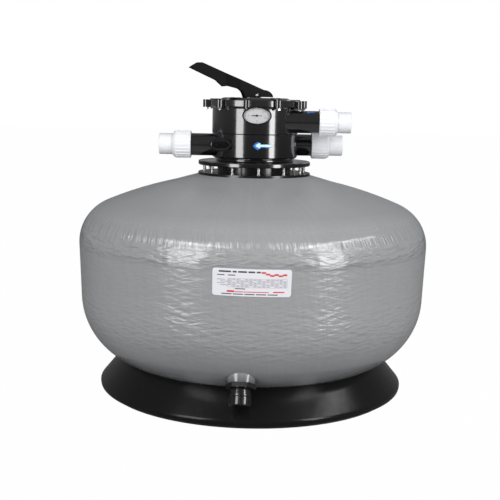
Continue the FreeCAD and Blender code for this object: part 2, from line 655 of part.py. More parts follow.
# ---------------------------------------------------------------- lid
def valve_lid():
    under = LID_Z - LID_WEB - 2
    well_out = LID_WELL_R + LID_WEB
    body = turned([(STEM_R + SLIDE, WELL_Z - LID_HUB_H), (LID_HUB_R, WELL_Z - LID_HUB_H),
                   (LID_HUB_R, WELL_Z - LID_WEB), (well_out, WELL_Z - LID_WEB),
                   (well_out, CROWN_TOP - LID_WEB),
                   (LID_CROWN_R - LID_WEB, CROWN_TOP - LID_WEB), (LID_CROWN_R + 4, LID_TOP - LID_WEB),
                   (BORE_R - LID_WEB, LID_TOP - LID_WEB), (BORE_R - LID_WEB, under), (BORE_R - FIT, under),
                   (BORE_R - FIT, LID_Z), (LID_RIM_R, LID_Z),
                   (LID_RIM_R, LID_TOP - 2), (LID_RIM_R - 2, LID_TOP), (LID_CROWN_R + 10, LID_TOP),
                   (LID_CROWN_R + 4, LID_TOP + 4), (LID_CROWN_R, CROWN_TOP - 2), (LID_CROWN_R - 6, CROWN_TOP),
                   (LID_WELL_R + 3, CROWN_TOP), (LID_WELL_R, CROWN_TOP - 3), (LID_WELL_R, WELL_Z),
                   (STEM_R + SLIDE, WELL_Z)])
    ears = round_pattern(lid_ear(LID_Z, LID_TOP), LID_EAR_COUNT, LID_EAR_PHASE)
    ribs = box(LID_CROWN_R - 2, LID_RIM_R - 4, -2.5, 2.5, LID_TOP - 1, LID_TOP + 3.5)
    body = fuse([body] + ears + round_pattern(ribs, LID_EAR_COUNT, LID_EAR_PHASE + 90))
    body = body.cut(tube(BORE_R + 1, BORE_R - FIT - 3.5, LID_Z - 4.2, LID_Z - 0.01))
    notch = box(-LID_CROWN_R - 1, -LID_CROWN_R + 20, -NOTCH_W / 2, NOTCH_W / 2,
                CROWN_TOP - NOTCH_DEPTH, CROWN_TOP + 1)
    bores = round_pattern(ear_hole(LID_SCREW_R + FIT, LID_Z - 1, LID_TOP + 1), LID_EAR_COUNT, LID_EAR_PHASE)
    sinks = round_pattern(ear_hole(LID_SCREW_HEAD_R + FIT, LID_TOP - LID_SCREW_R * 2, LID_TOP + 1),
                          LID_EAR_COUNT, LID_EAR_PHASE)
    for cutter in bores + sinks + round_pattern(notch, PORT_COUNT, LEVER_TURN):
        body = body.cut(cutter)
    return body


def lid_seal():
    return tube(BORE_R - FIT / 2, BORE_R - FIT / 2 - 3, LID_Z - 4, LID_Z - 0.5)


def lid_screw():
    """Socket-head screw, sunk in the lid's ear."""
    head_z = LID_TOP - LID_SCREW_R * 2
    shank = ear_hole(LID_SCREW_R, LID_Z - BODY_EAR_H - LID_NUT_H - 2, head_z)
    head = ear_hole(LID_SCREW_HEAD_R, head_z, LID_TOP - 0.5)
    key = hexagon(6, 6, LID_TOP - 5)
    key.translate(V(0, -LID_EAR_CIRCLE_R, 0))
    return shank.fuse(head).cut(key)


def lid_nut():
    z = LID_Z - BODY_EAR_H - LID_NUT_H
    nut = hexagon(LID_NUT_AF, LID_NUT_H, z).cut(tube(LID_SCREW_R + FIT / 3, 0, z - 1, z + LID_NUT_H + 1))
    nut.translate(V(0, -LID_EAR_CIRCLE_R, 0))
    return nut


# ---------------------------------------------------------------- rotor, spring and lever
def rotor():
    z = ROTOR_Z
    hub_top = z + ROTOR_H + ROTOR_HUB_H
    body = turned([(0, z), (ROTOR_R, z), (ROTOR_R, z + ROTOR_H - 6), (ROTOR_R - 8, z + ROTOR_H),
                   (ROTOR_HUB_R + 12, z + ROTOR_H + 6), (ROTOR_HUB_R, z + ROTOR_H + 16),
                   (ROTOR_HUB_R, hub_top - 14),
                   (STEM_R, hub_top - 14), (STEM_R, PIN_Z + STEM_R), (0, PIN_Z + STEM_R)])
    window = spun(wedge(CENTRE_TUBE_R + 6, PORT_RIM_R, z - 1, z + ROTOR_H + 20, PORT_WEB / 2 + 2), 120)
    pocket = wedge(CENTRE_TUBE_R + 6, PORT_RIM_R, z - 1, z + ROTOR_H - 7, PORT_WEB / 2 + 2)
    body = body.cut(window)
    for turn in (0, 60, -60, 180, -120):
        body = body.cut(spun(pocket, turn))
    flats_z = WELL_Z + WASHER_CAM_H
    for side in (-1, 1):
        y0, y1 = sorted((side * STEM_FLAT / 2, side * 2 * STEM_R))
        body = body.cut(spun(box(-2 * STEM_R, 2 * STEM_R, y0, y1, flats_z, PIN_Z + 2 * STEM_R), LEVER_TURN))
    cross = placed(tube(PIN_R + 0.15, 0, -20, 20), V(0, 0, PIN_Z), V(0, 1, 0))
    body = body.cut(spun(cross, LEVER_TURN))
    for groove_z in seal_heights():
        body = body.cut(tube(STEM_R + 1, STEM_R - 2, groove_z, groove_z + 3.2))
    return body


def seal_heights():
    """Grooves of the stem's two seals, inside the lid's hub over the whole lift."""
    low = WELL_Z - LID_HUB_H + 1
    return [low, low + 5.5]


def stem_seals():
    return [tube(STEM_R + 0.05, STEM_R - 2 + FIT / 2, z + 0.1, z + 3.1) for z in seal_heights()]


def spring_ends():
    """Lower end on the rotor's hub, upper end under the lid's hub."""
    return ROTOR_Z + ROTOR_H + ROTOR_HUB_H - 14, WELL_Z - LID_HUB_H - SPRING_WASHER_H


def rotor_spring():
    z0, z1 = spring_ends()
    lead = SPRING_WIRE_R
    pitch = (z1 - z0 - 2 * lead) / SPRING_TURNS
    path = Part.makeHelix(pitch, z1 - z0 - 2 * lead, SPRING_R)
    path.translate(V(0, 0, z0 + lead))
    section = Part.Wire(Part.makeCircle(SPRING_WIRE_R, V(SPRING_R, 0, z0 + lead), V(0, 1, 0)))
    return Part.Wire(path).makePipeShell([section], True, True)


def spring_washer():
    top = WELL_Z - LID_HUB_H
    return tube(SPRING_R + 4, STEM_R + SLIDE, top - SPRING_WASHER_H, top)


def thrust_washer():
    return tube(WASHER_CAM_R, STEM_R + 0.5, WELL_Z, WELL_Z + WASHER_CAM_H - SLIDE)


def lever_point(name):
    along, up = LEVER_SIDE[name]
    return V(along, 0, PIN_Z + up)


def lever_outline():
    """Side outline of the lever, tip to -X, heel to +X, as a face in the XZ plane."""
    rest = math.radians(PRESS_ANGLE / 2)
    cam = (-CAM_OFFSET * math.cos(rest), PIN_Z + CAM_OFFSET * math.sin(rest))
    cam_side, cam_mid, cam_low = [on_circle(cam, CAM_R, math.radians(a)) for a in (190, 232, 270)]
    heel_z = CROWN_TOP + LEVER_HEEL_GAP
    back = V(CAM_OFFSET * 3, 0, heel_z)
    foot = [cam_low, V(0, 0, PIN_Z - 3 * PIN_R), V(3 * PIN_R, 0, heel_z), back]
    names = ("shoulder", "tip_top", "tip_high", "tip_low", "grip", "nub_out", "nub_in", "throat")
    rim = [lever_point(name) for name in names]
    edges = [Part.Arc(cam_side, cam_mid, cam_low).toShape()]
    edges += [line(a, b) for a, b in zip(foot, foot[1:])]
    edges += [Part.Arc(back, lever_point("knee"), rim[0]).toShape()]
    edges += [line(a, b) for a, b in zip(rim, rim[1:])]
    edges += [Part.Arc(rim[-1], lever_point("throat_mid"), cam_side).toShape()]
    return Part.Face(Part.Wire(edges))


def lever_plan():
    """Plan of the lever: wide at the fork, narrow at the waist and rounded at the tip."""
    half, tip = LEVER_W / 2, LEVER_TIP_W / 2
    wide, narrow = LEVER_WAIST
    heel = Part.Arc(V(LEVER_HEEL, -half, 0), V(LEVER_HEEL + half, 0, 0), V(LEVER_HEEL, half, 0)).toShape()
    nose = Part.Arc(V(LEVER_NOSE, tip, 0), V(LEVER_NOSE - tip, 0, 0), V(LEVER_NOSE, -tip, 0)).toShape()
    left = [V(LEVER_HEEL, half, 0), V(wide, half, 0), V(narrow, tip, 0), V(LEVER_NOSE, tip, 0)]
    right = [V(p.x, -p.y, 0) for p in reversed(left)]
    edges = [line(a, b) for side in (left, right) for a, b in zip(side, side[1:])]
    outline = Part.Wire(Part.__sortEdges__([heel, nose] + edges))
    return Part.Face(outline).extrude(V(0, 0, PIN_Z * 1.2))


def lever_channel():
    """Hollow along the underside of the grip."""
    low, high = lever_point("tip_low"), lever_point("grip")
    half = LEVER_TIP_W / 2 - LEVER_WALL
    run = high - low
    channel = box(LEVER_NOSE - low.x, run.Length + LEVER_WALL * 3, -half, half, -3, LEVER_CHANNEL_H - 3)
    channel.rotate(V(0, 0, 0), V(0, 1, 0), math.degrees(math.atan2(-run.z, run.x)))
    channel.translate(low)
    return channel


def handle():
    half, slot_half = LEVER_W / 2, LEVER_SLOT / 2
    blade = lever_outline().extrude(V(0, LEVER_W + 4, 0))
    blade.translate(V(0, -half - 2, 0))
    slot = box(-30, 30, -slot_half, slot_half, PIN_Z - 60, PIN_Z)
    slot = slot.fuse(box(-60, 0, -slot_half, slot_half, PIN_Z - 60, PIN_Z + 12))
    head = placed(tube(STEM_R + 8, 0, -slot_half, slot_half), V(0, 0, PIN_Z), V(0, 1, 0))
    bore = placed(tube(PIN_R + 0.1, 0, -half - 5, half + 5), V(0, 0, PIN_Z), V(0, 1, 0))
    body = blade.common(lever_plan())
    for cutter in (slot.fuse(head), lever_channel(), bore):
        body = body.cut(cutter)
    return spun(body, LEVER_TURN)


def handle_pin():
    half = LEVER_W / 2
    pin = turned([(0, -half), (PIN_R - 1, -half), (PIN_R, 1 - half),
                  (PIN_R, half - 1), (PIN_R - 1, half), (0, half)])
    return spun(placed(pin, V(0, 0, PIN_Z), V(0, -1, 0)), LEVER_TURN)


# ---------------------------------------------------------------- unions, outwards from the nut's near edge
def union_faces():
    """End of the port, face of the tail's collar, back of the collar."""
    port_face = UNION_THREAD_L + 3
    tail_face = port_face + SLIDE
    return port_face, tail_face, tail_face + TAIL_COLLAR_L


def union_tail():
    _, face, back = union_faces()
    end = UNION_NUT_L + TAIL_OUT
    body = turned([(TAIL_BORE_R, face), (UNION_THREAD_R - SLIDE, face), (UNION_THREAD_R - SLIDE, back),
                   (TAIL_R, back), (TAIL_R, end - 1.5), (TAIL_R - 1.5, end), (SOCKET_R, end),
                   (SOCKET_R, end - SOCKET_L), (TAIL_BORE_R, end - SOCKET_L)])
    return body.cut(tube(38, 33, face - 1, face + 3))


def union_nut():
    _, _, back = union_faces()
    lip = back + SLIDE
    r = UNION_NUT_R
    body = turned([(UNION_THREAD_R + 2 * SLIDE, 0), (r - 1, 0), (r, 1), (r, UNION_NUT_L - 7),
                   (r - 5, UNION_NUT_L), (TAIL_R + 2 * SLIDE, UNION_NUT_L), (TAIL_R + 2 * SLIDE, lip),
                   (UNION_THREAD_R + 2 * SLIDE, lip)])
    rib = box(r - 1.5, r + UNION_RIB_H, -2, 2, 2, UNION_NUT_L - 9)
    return fuse([body] + round_pattern(rib, UNION_RIBS))


def union_seal():
    _, face, _ = union_faces()
    return tube(38 - FIT, 33 + FIT, face, face + 3)


# ---------------------------------------------------------------- gauge and sight glass
def at_gauge(shape):
    """Move a shape built along +Z onto the gauge's axis, pointing to the front."""
    return placed(shape, V(GAUGE_X, 0, GAUGE_Z), V(0, -1, 0))


def gauge_oval(share, inset, y0, y1):
    return oval(GAUGE_HALF_W * share - inset, GAUGE_HALF_H * share - inset, y0, y1, GAUGE_X, GAUGE_Z)


def gauge_case():
    ring_back = GAUGE_FACE_Y + GAUGE_RING_L
    back = gauge_oval(GAUGE_BACK_SHARE, 0, GAUGE_BACK_Y, ring_back)
    front = gauge_oval(1, 0, ring_back, GAUGE_FACE_Y + 3)
    hollow = gauge_oval(GAUGE_BACK_SHARE, GAUGE_RING_WALL, GAUGE_BACK_Y - 6, ring_back)
    pan = gauge_oval(1, GAUGE_RING_WALL, ring_back - GAUGE_FLOOR, GAUGE_FACE_Y)
    stem = at_gauge(tube(GAUGE_STEM_R + FIT / 3, 0, 0, -GAUGE_BACK_Y + 8))
    arbor = at_gauge(tube(ARBOR_R + 1, 0, 0, -GAUGE_FACE_Y))
    return back.fuse(front).cut(hollow).cut(pan).cut(stem).cut(arbor)


def gauge_bezel():
    """Snap ring that holds the lens."""
    y0, y1 = GAUGE_FACE_Y + 3, GAUGE_FACE_Y
    ring = gauge_oval(1, 0, y0, y1).cut(gauge_oval(1, GAUGE_RING_WALL + 1.5, y0 + 1, y1 - 1))
    return ring


def dial_back():
    return GAUGE_FACE_Y + GAUGE_RING_L - GAUGE_FLOOR


def gauge_dial():
    y = dial_back()
    dial = gauge_oval(1, GAUGE_RING_WALL + FIT, y, y - DIAL_H)
    return dial.cut(at_gauge(tube(ARBOR_R + 1, 0, 0, -GAUGE_FACE_Y)))


def gauge_lens():
    return gauge_oval(1, GAUGE_RING_WALL + FIT, GAUGE_FACE_Y + 3 + LENS_H, GAUGE_FACE_Y + 3)


def gauge_stem():
    """Threaded brass stem from the body into the case, with its hexagon."""
    return at_gauge(tube(GAUGE_STEM_R, 2, BORE_R + 1, -GAUGE_BACK_Y + 7))


def gauge_movement():
    """Bourdon movement: block on the stem with the needle's arbor."""
    floor = -(GAUGE_FACE_Y + GAUGE_RING_L) - FIT
    block = tube(12, 0, -GAUGE_BACK_Y + 7, floor)
    arbor = tube(ARBOR_R, 0, floor - 1, -dial_back() + DIAL_H + NEEDLE_GAP + 0.8)
    return at_gauge(block.fuse(arbor))


def gauge_needle():
    y = dial_back() - DIAL_H - NEEDLE_GAP
    blade = Part.Face(Part.makePolygon([V(-NEEDLE_REACH, 0, 0), V(-NEEDLE_REACH * 0.55, 0, 1.6), V(0, 0, 1.0),
                                        V(NEEDLE_REACH * 0.8, 0, 0.8), V(NEEDLE_REACH * 0.8, 0, -0.8),
                                        V(0, 0, -1.0), V(-NEEDLE_REACH * 0.55, 0, -1.6),
                                        V(-NEEDLE_REACH, 0, 0)]))
    blade = blade.extrude(V(0, -0.6, 0))
    blade.translate(V(GAUGE_X, y, GAUGE_Z))
    hub = at_gauge(tube(3.5, 0, -y, -y + 1.2))
    return blade.fuse(hub).cut(at_gauge(tube(ARBOR_R + 0.2, 0, 0, -y + 0.9)))


def sight_glass():
    """Clear window, domed outwards."""
    seat = SIGHT_FACE_Y + SIGHT_SEAT_L - SIGHT_SEAL_H
    window = sight_boss(-FIT, seat, seat - SIGHT_HALF_W)
    dome = Part.makeSphere(SIGHT_DOME_R, V(SIGHT_X, SIGHT_FACE_Y - 3 + SIGHT_DOME_R, SIGHT_Z))
    return window.common(dome)


def sight_glass_seal():
    seat = SIGHT_FACE_Y + SIGHT_SEAT_L
    ring = sight_boss(-FIT, seat, seat - SIGHT_SEAL_H)
    return ring.cut(sight_boss(-SIGHT_LEDGE, seat + 1, seat - SIGHT_SEAL_H - 1))


# ---------------------------------------------------------------- inside the tank
def foot_inside_z(radius):
    """Height of the tank's inner surface near the axis."""
    return FOOT_CROWN[1] - math.sqrt((FOOT_CROWN_R - TANK_WALL) ** 2 - radius ** 2)


def standpipe():
    return tube(PIPE_R, PIPE_R - PIPE_WALL, HUB_Z + 10, VALVE_Z - 10)


def lateral_hub():
    foot = foot_inside_z(30) + FIT
    body = tube(30, 0, foot, HUB_Z).fuse(tube(HUB_R, 0, HUB_Z - HUB_HALF_H, HUB_Z + HUB_HALF_H))
    body = body.cut(tube(PIPE_R + FIT, 0, HUB_Z + 10, HUB_Z + HUB_HALF_H + 1))
    body = body.cut(tube(PIPE_R - PIPE_WALL, 0, HUB_Z - LATERAL_R, HUB_Z + 11))
    socket = placed(tube(LATERAL_R + FIT, 0, HUB_R - 16, HUB_R + 1), V(0, 0, HUB_Z), V(1, 0, 0))
    duct = placed(tube(LATERAL_R - LATERAL_WALL, 0, 10, HUB_R), V(0, 0, HUB_Z), V(1, 0, 0))
    for cutter in round_pattern(socket.fuse(duct), LATERAL_COUNT, 22.5):
        body = body.cut(cutter)
    return body


def lateral():
    pipe = tube(LATERAL_R, LATERAL_R - LATERAL_WALL, HUB_R - 16, LATERAL_REACH)
    cap = tube(LATERAL_R, 0, LATERAL_REACH - LATERAL_WALL, LATERAL_REACH)
    pipe = pipe.fuse(cap)
    start, step = HUB_R + 40, (LATERAL_REACH - HUB_R - 80) / (LATERAL_SLOTS - 1)
    for i in range(LATERAL_SLOTS):
        z = start + i * step
        pipe = pipe.cut(box(-LATERAL_R - 1, -LATERAL_R / 3, -LATERAL_R, LATERAL_R, z - 1, z + 1))
    return placed(pipe, V(0, 0, HUB_Z), V(1, 0, 0))


def top_diffuser():
    """Slotted basket that spreads the incoming water, hung from the neck."""
    top = NECK_FOOT - FIT
    body = turned([(PIPE_R + 3, top - DIFFUSER_H), (DIFFUSER_R, top - DIFFUSER_H),
                   (DIFFUSER_R, top - DIFFUSER_WALL),
                   (MOUTH_R - 2, top - DIFFUSER_WALL), (MOUTH_R - 2, top), (DIFFUSER_R - DIFFUSER_WALL, top),
                   (DIFFUSER_R - DIFFUSER_WALL, top - DIFFUSER_H + DIFFUSER_WALL),
                   (PIPE_R + 3, top - DIFFUSER_H + DIFFUSER_WALL)])
    slot = box(DIFFUSER_R - 10, DIFFUSER_R + 5, -8, 8, top - DIFFUSER_H + 10, top - 15)
    air = tube(AIR_TUBE_R + FIT, 0, top - DIFFUSER_H - 1, top - DIFFUSER_H + DIFFUSER_WALL + 1)
    air.translate(V(-AIR_TUBE_AT, 0, 0))
    for cutter in round_pattern(slot, DIFFUSER_SLOTS) + [air]:
        body = body.cut(cutter)
    return body


def air_relief_tube():
    tube_z = HUB_Z + HUB_HALF_H + FIT
    body = tube(AIR_TUBE_R, AIR_TUBE_R - 1.5, tube_z, VALVE_Z + VALVE_FLANGE_H - 4)
    body.translate(V(-AIR_TUBE_AT, 0, 0))
    return body


# ---------------------------------------------------------------- drain, built downwards along its axis
def drain_bulkhead():
    flange_z = DRAIN_INNER - SEAL_H - DRAIN_FLANGE_H
    body = tube(DRAIN_PIPE_R, 0, flange_z, DRAIN_NUT_H + DRAIN_ADAPTER_H - 5)
    body = body.fuse(tube(DRAIN_BOSS_R - 6, 0, flange_z, DRAIN_INNER - SEAL_H))
    return body.cut(tube(DRAIN_BORE_R, 0, flange_z - 1, DRAIN_NUT_H + DRAIN_ADAPTER_H))


def drain_gasket():
    return tube(DRAIN_BOSS_R - 6, DRAIN_PIPE_R + FIT, DRAIN_INNER - SEAL_H, DRAIN_INNER)


def drain_nut():
    nut = hexagon(DRAIN_NUT_AF, DRAIN_NUT_H, 0)
    radius = DRAIN_NUT_AF / math.sqrt(3)
    bevel = turned([(0, 0), (radius - 3, 0), (radius + 1, 3), (radius + 1, DRAIN_NUT_H - 3),
                    (radius - 3, DRAIN_NUT_H), (0, DRAIN_NUT_H)])
    return nut.common(bevel).cut(tube(DRAIN_PIPE_R + FIT, 0, -1, DRAIN_NUT_H + 1))


def drain_adapter():
    z0, z1 = DRAIN_NUT_H, DRAIN_NUT_H + DRAIN_ADAPTER_H
    r = DRAIN_ADAPTER_R
    body = turned([(0, z0), (r - 4, z0), (r - 3, z0 + 1), (r, z1 - 6), (r, z1 - 1), (r - 1, z1),
                   (DRAIN_SPIGOT_R, z1), (DRAIN_SPIGOT_R, z1 + DRAIN_SPIGOT_L), (0, z1 + DRAIN_SPIGOT_L)])
    body = body.cut(tube(DRAIN_PIPE_R + FIT, 0, z0 - 1, z1 - 5))
    return body.cut(tube(DRAIN_BORE_R, 0, z0, z1 + DRAIN_SPIGOT_L + 1))


def drain_cap():
    z0, z1 = DRAIN_CAP_Z, DRAIN_CAP_Z + DRAIN_CAP_H
    r = DRAIN_CAP_R
    body = turned([(0, z0), (r - 1, z0), (r, z0 + 1), (r, z1 - 3), (r - 3, z1), (0, z1)])
    rib = box(r - 1, r + 1.2, -2.5, 2.5, z0 + 3, z1 - 4)
    body = fuse([body] + round_pattern(rib, 12))
    return body.cut(tube(DRAIN_SPIGOT_R + SLIDE, 0, z0 - 1, DRAIN_SEAL_Z + SEAL_H))


def drain_cap_seal():
    return tube(DRAIN_SPIGOT_R - FIT, DRAIN_BORE_R + 1, DRAIN_SEAL_Z, DRAIN_SEAL_Z + SEAL_H - 0.2)


def drain_screen():
    """Capped basket with long slots that keeps the sand in."""
    foot = DRAIN_INNER - SEAL_H - DRAIN_FLANGE_H
    head = foot - DRAIN_SCREEN_L
    outer_r = DRAIN_BORE_R + 3
    body = turned([(DRAIN_BORE_R, foot), (outer_r, foot), (outer_r, head), (0, head), (0, head + 3),
                   (DRAIN_BORE_R, head + 3)])
    slot = box(DRAIN_BORE_R - 3, outer_r + 3, -1.5, 1.5, head + 10, foot - 10)
    for cutter in round_pattern(slot, DRAIN_SCREEN_SLOTS):
        body = body.cut(cutter)
    return body


# ---------------------------------------------------------------- build
def build():
    os.makedirs("parts", exist_ok=True)
    save("tank_shell", tank_shell())
    save("base_skirt", base_skirt())
    save("tank_neck", tank_neck())
    save("flange_inserts", *bolt_set(flange_insert()))
    save("flange_washers", *bolt_set(flange_washer()))
    save("flange_bolts", *bolt_set(flange_bolt()))
    save("neck_seal", tube(COLLAR_R, NECK_BORE_R + 4, COLLAR_TOP, VALVE_Z))
    save("valve_body_lower", valve_body_lower())
    save("valve_body_upper", valve_body_upper())
    save("body_gasket", body_gasket())
    save("spider_gasket", spider_gasket())
    save("valve_lid", valve_lid())
    save("lid_seal", lid_seal())
    save("lid_screws", *round_pattern(lid_screw(), LID_EAR_COUNT, LID_EAR_PHASE))
    save("lid_nuts", *round_pattern(lid_nut(), LID_EAR_COUNT, LID_EAR_PHASE))
    save("rotor", rotor())
    save("stem_seals", *stem_seals())
    save("rotor_spring", rotor_spring())
    save("spring_washer", spring_washer())
    save("thrust_washer", thrust_washer())
    save("handle", handle())
    save("handle_pin", handle_pin())
    for name, port in PORTS.items():
        save(name + "_union_tail", at_port(union_tail(), port, port["reach"]))
        save(name + "_union_nut", at_port(union_nut(), port, port["reach"]))
        save(name + "_union_seal", at_port(union_seal(), port, port["reach"]))
    save("gauge_case", gauge_case())
    save("gauge_bezel", gauge_bezel())
    save("gauge_dial", gauge_dial())
    save("gauge_lens", gauge_lens())
    save("gauge_stem", gauge_stem())
    save("gauge_movement", gauge_movement())
    save("gauge_needle", gauge_needle())
    save("sight_glass", sight_glass())
    save("sight_glass_seal", sight_glass_seal())
    save("standpipe", standpipe())
    save("lateral_hub", lateral_hub())
    save("laterals", *round_pattern(lateral(), LATERAL_COUNT, 22.5))
    save("top_diffuser", top_diffuser())
    save("air_relief_tube", air_relief_tube())
    save("drain_bulkhead", at_drain(drain_bulkhead()))
    save("drain_gasket", at_drain(drain_gasket()))
    save("drain_nut", at_drain(drain_nut()))
    save("drain_adapter", at_drain(drain_adapter()))
    save("drain_cap", at_drain(drain_cap()))
    save("drain_cap_seal", at_drain(drain_cap_seal()))
    save("drain_screen", at_drain(drain_screen()))


build()
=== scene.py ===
# %% [markdown]
# # A sand filter with a top-mounted valve
# A squat tank of wound glassfibre stands on a black moulded ring. A black six-way valve is bolted to its
# neck, with a lever, a pressure gauge, a sight glass and three white pipe unions. The solids come from the
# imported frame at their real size; this lesson gives each one its finish and adds what is printed or fine.

# %% Load the frame
import bpy
import bmesh
import json
import math
from mathutils import Matrix, Vector

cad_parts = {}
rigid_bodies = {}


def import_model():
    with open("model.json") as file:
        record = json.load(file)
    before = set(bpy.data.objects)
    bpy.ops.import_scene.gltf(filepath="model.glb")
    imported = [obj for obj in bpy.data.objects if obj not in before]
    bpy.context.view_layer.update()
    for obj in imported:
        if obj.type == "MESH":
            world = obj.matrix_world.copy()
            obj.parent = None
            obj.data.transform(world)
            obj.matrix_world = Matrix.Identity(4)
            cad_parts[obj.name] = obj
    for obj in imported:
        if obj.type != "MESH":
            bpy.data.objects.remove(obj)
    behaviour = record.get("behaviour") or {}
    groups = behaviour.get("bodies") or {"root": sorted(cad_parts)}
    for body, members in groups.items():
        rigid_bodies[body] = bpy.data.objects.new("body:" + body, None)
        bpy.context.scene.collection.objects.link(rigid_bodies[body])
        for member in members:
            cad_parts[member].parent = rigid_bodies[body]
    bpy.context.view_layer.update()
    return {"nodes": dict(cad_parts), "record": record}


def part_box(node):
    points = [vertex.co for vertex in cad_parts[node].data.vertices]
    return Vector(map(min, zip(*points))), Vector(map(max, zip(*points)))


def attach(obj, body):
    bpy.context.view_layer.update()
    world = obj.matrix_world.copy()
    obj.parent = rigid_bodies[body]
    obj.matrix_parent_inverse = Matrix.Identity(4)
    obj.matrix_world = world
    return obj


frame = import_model()
NODES = frame["nodes"]

# %% [markdown]
# ## Sizes read from the frame
# Everything that is added sits on a solid, so its place comes from that solid's box. `low`, `high` and
# `middle` save writing the same sums again and again.

# %% Boxes of the nodes
def low(node):
    return Vector(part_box(node)[0])


def high(node):
    return Vector(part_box(node)[1])


def middle(node):
    return (low(node) + high(node)) / 2


TANK_R = high("tank_shell").x
TANK_TOP = high("tank_shell").z
DRAIN_BOSS = middle("drain_nut")
print("tank radius", round(TANK_R, 4), "top", round(TANK_TOP, 4))

# %% [markdown]
# ## Writing shader maths as Python
# A wrapped socket lets `1 - mask` or `noise * 0.3 + 0.2` add the Math nodes by itself. Everything else comes
# from one method, `node`, which takes the node's type, its settings and what goes into its sockets.

# %% A socket that can be calculated with
class Wire:
    def __init__(self, sheet, socket):
        self.sheet = sheet
        self.socket = socket

    def _math(self, operation, *values, clamp=False):
        return self.sheet.node("ShaderNodeMath", {"operation": operation, "use_clamp": clamp}, list(values))

    def __add__(self, other):
        return self._math("ADD", self, other)

    def __sub__(self, other):
        return self._math("SUBTRACT", self, other)

    def __mul__(self, other):
        return self._math("MULTIPLY", self, other)

    def __truediv__(self, other):
        return self._math("DIVIDE", self, other)

    def __rsub__(self, other):
        return self._math("SUBTRACT", other, self)

    __radd__ = __add__
    __rmul__ = __mul__

    def clamped(self):
        return self._math("ADD", self, 0.0, clamp=True)

    def above(self, edge, width):
        """0 below the edge and 1 above it, with a soft step of that width."""
        return ((self - edge) / width + 0.5).clamped()


class Sheet:
    """The node sheet of one material."""

    def __init__(self, name):
        self.material = bpy.data.materials.new(name)
        self.material.use_nodes = True
        self.tree = self.material.node_tree
        self.tree.nodes.clear()
        self.output = self.tree.nodes.new("ShaderNodeOutputMaterial")

    def node(self, kind, settings=None, inputs=None, output=0):
        made = self.tree.nodes.new(kind)
        for key, value in (settings or {}).items():
            setattr(made, key, value)
        pairs = inputs.items() if isinstance(inputs, dict) else enumerate(inputs or [])
        for key, value in pairs:
            if isinstance(value, Wire):
                self.tree.links.new(value.socket, made.inputs[key])
            else:
                made.inputs[key].default_value = value
        return Wire(self, made.outputs[output])

    def place(self):
        return self.node("ShaderNodeTexCoord", output="Object")

    def noise(self, vector, scale, detail=3.0, roughness=0.5):
        inputs = {"Vector": vector, "Scale": scale, "Detail": detail, "Roughness": roughness}
        return self.node("ShaderNodeTexNoise", None, inputs, "Fac")

    def blend(self, mask, first, second):
        """Colour that goes from the first to the second as the mask goes from 0 to 1."""
        settings = {"data_type": "RGBA"}
        return self.node("ShaderNodeMix", settings, {0: mask, 6: first, 7: second}, output=2)

    def bump(self, height, distance, strength=1.0, normal=None):
        inputs = {"Height": height, "Distance": distance, "Strength": strength}
        if normal:
            inputs["Normal"] = normal
        return self.node("ShaderNodeBump", None, inputs, "Normal")

    def finish(self, **sockets):
        """Principled surface; spaces in socket names are written as underscores."""
        values = {key.replace("_", " "): value for key, value in sockets.items()}
        shader = self.node("ShaderNodeBsdfPrincipled", None, values)
        self.tree.links.new(shader.socket, self.output.inputs["Surface"])
        return self.material


def grey(level, alpha=1.0):
    return (level, level, level, alpha)


print("shader helper ready")

# %% [markdown]
# ## The tank's wound glassfibre
# Resin-soaked strands are wound round the drum and run over the dished ends at a slant, so the gloss coat is
# not smooth: on the wall it ripples in long level strands, on the shoulders it ripples along the meridians.
# That ripple is what breaks each reflected lamp into short level dashes. Noise is read at a point squeezed
# along the strand: round the wall the direction from the axis changes slowly while height changes fast.

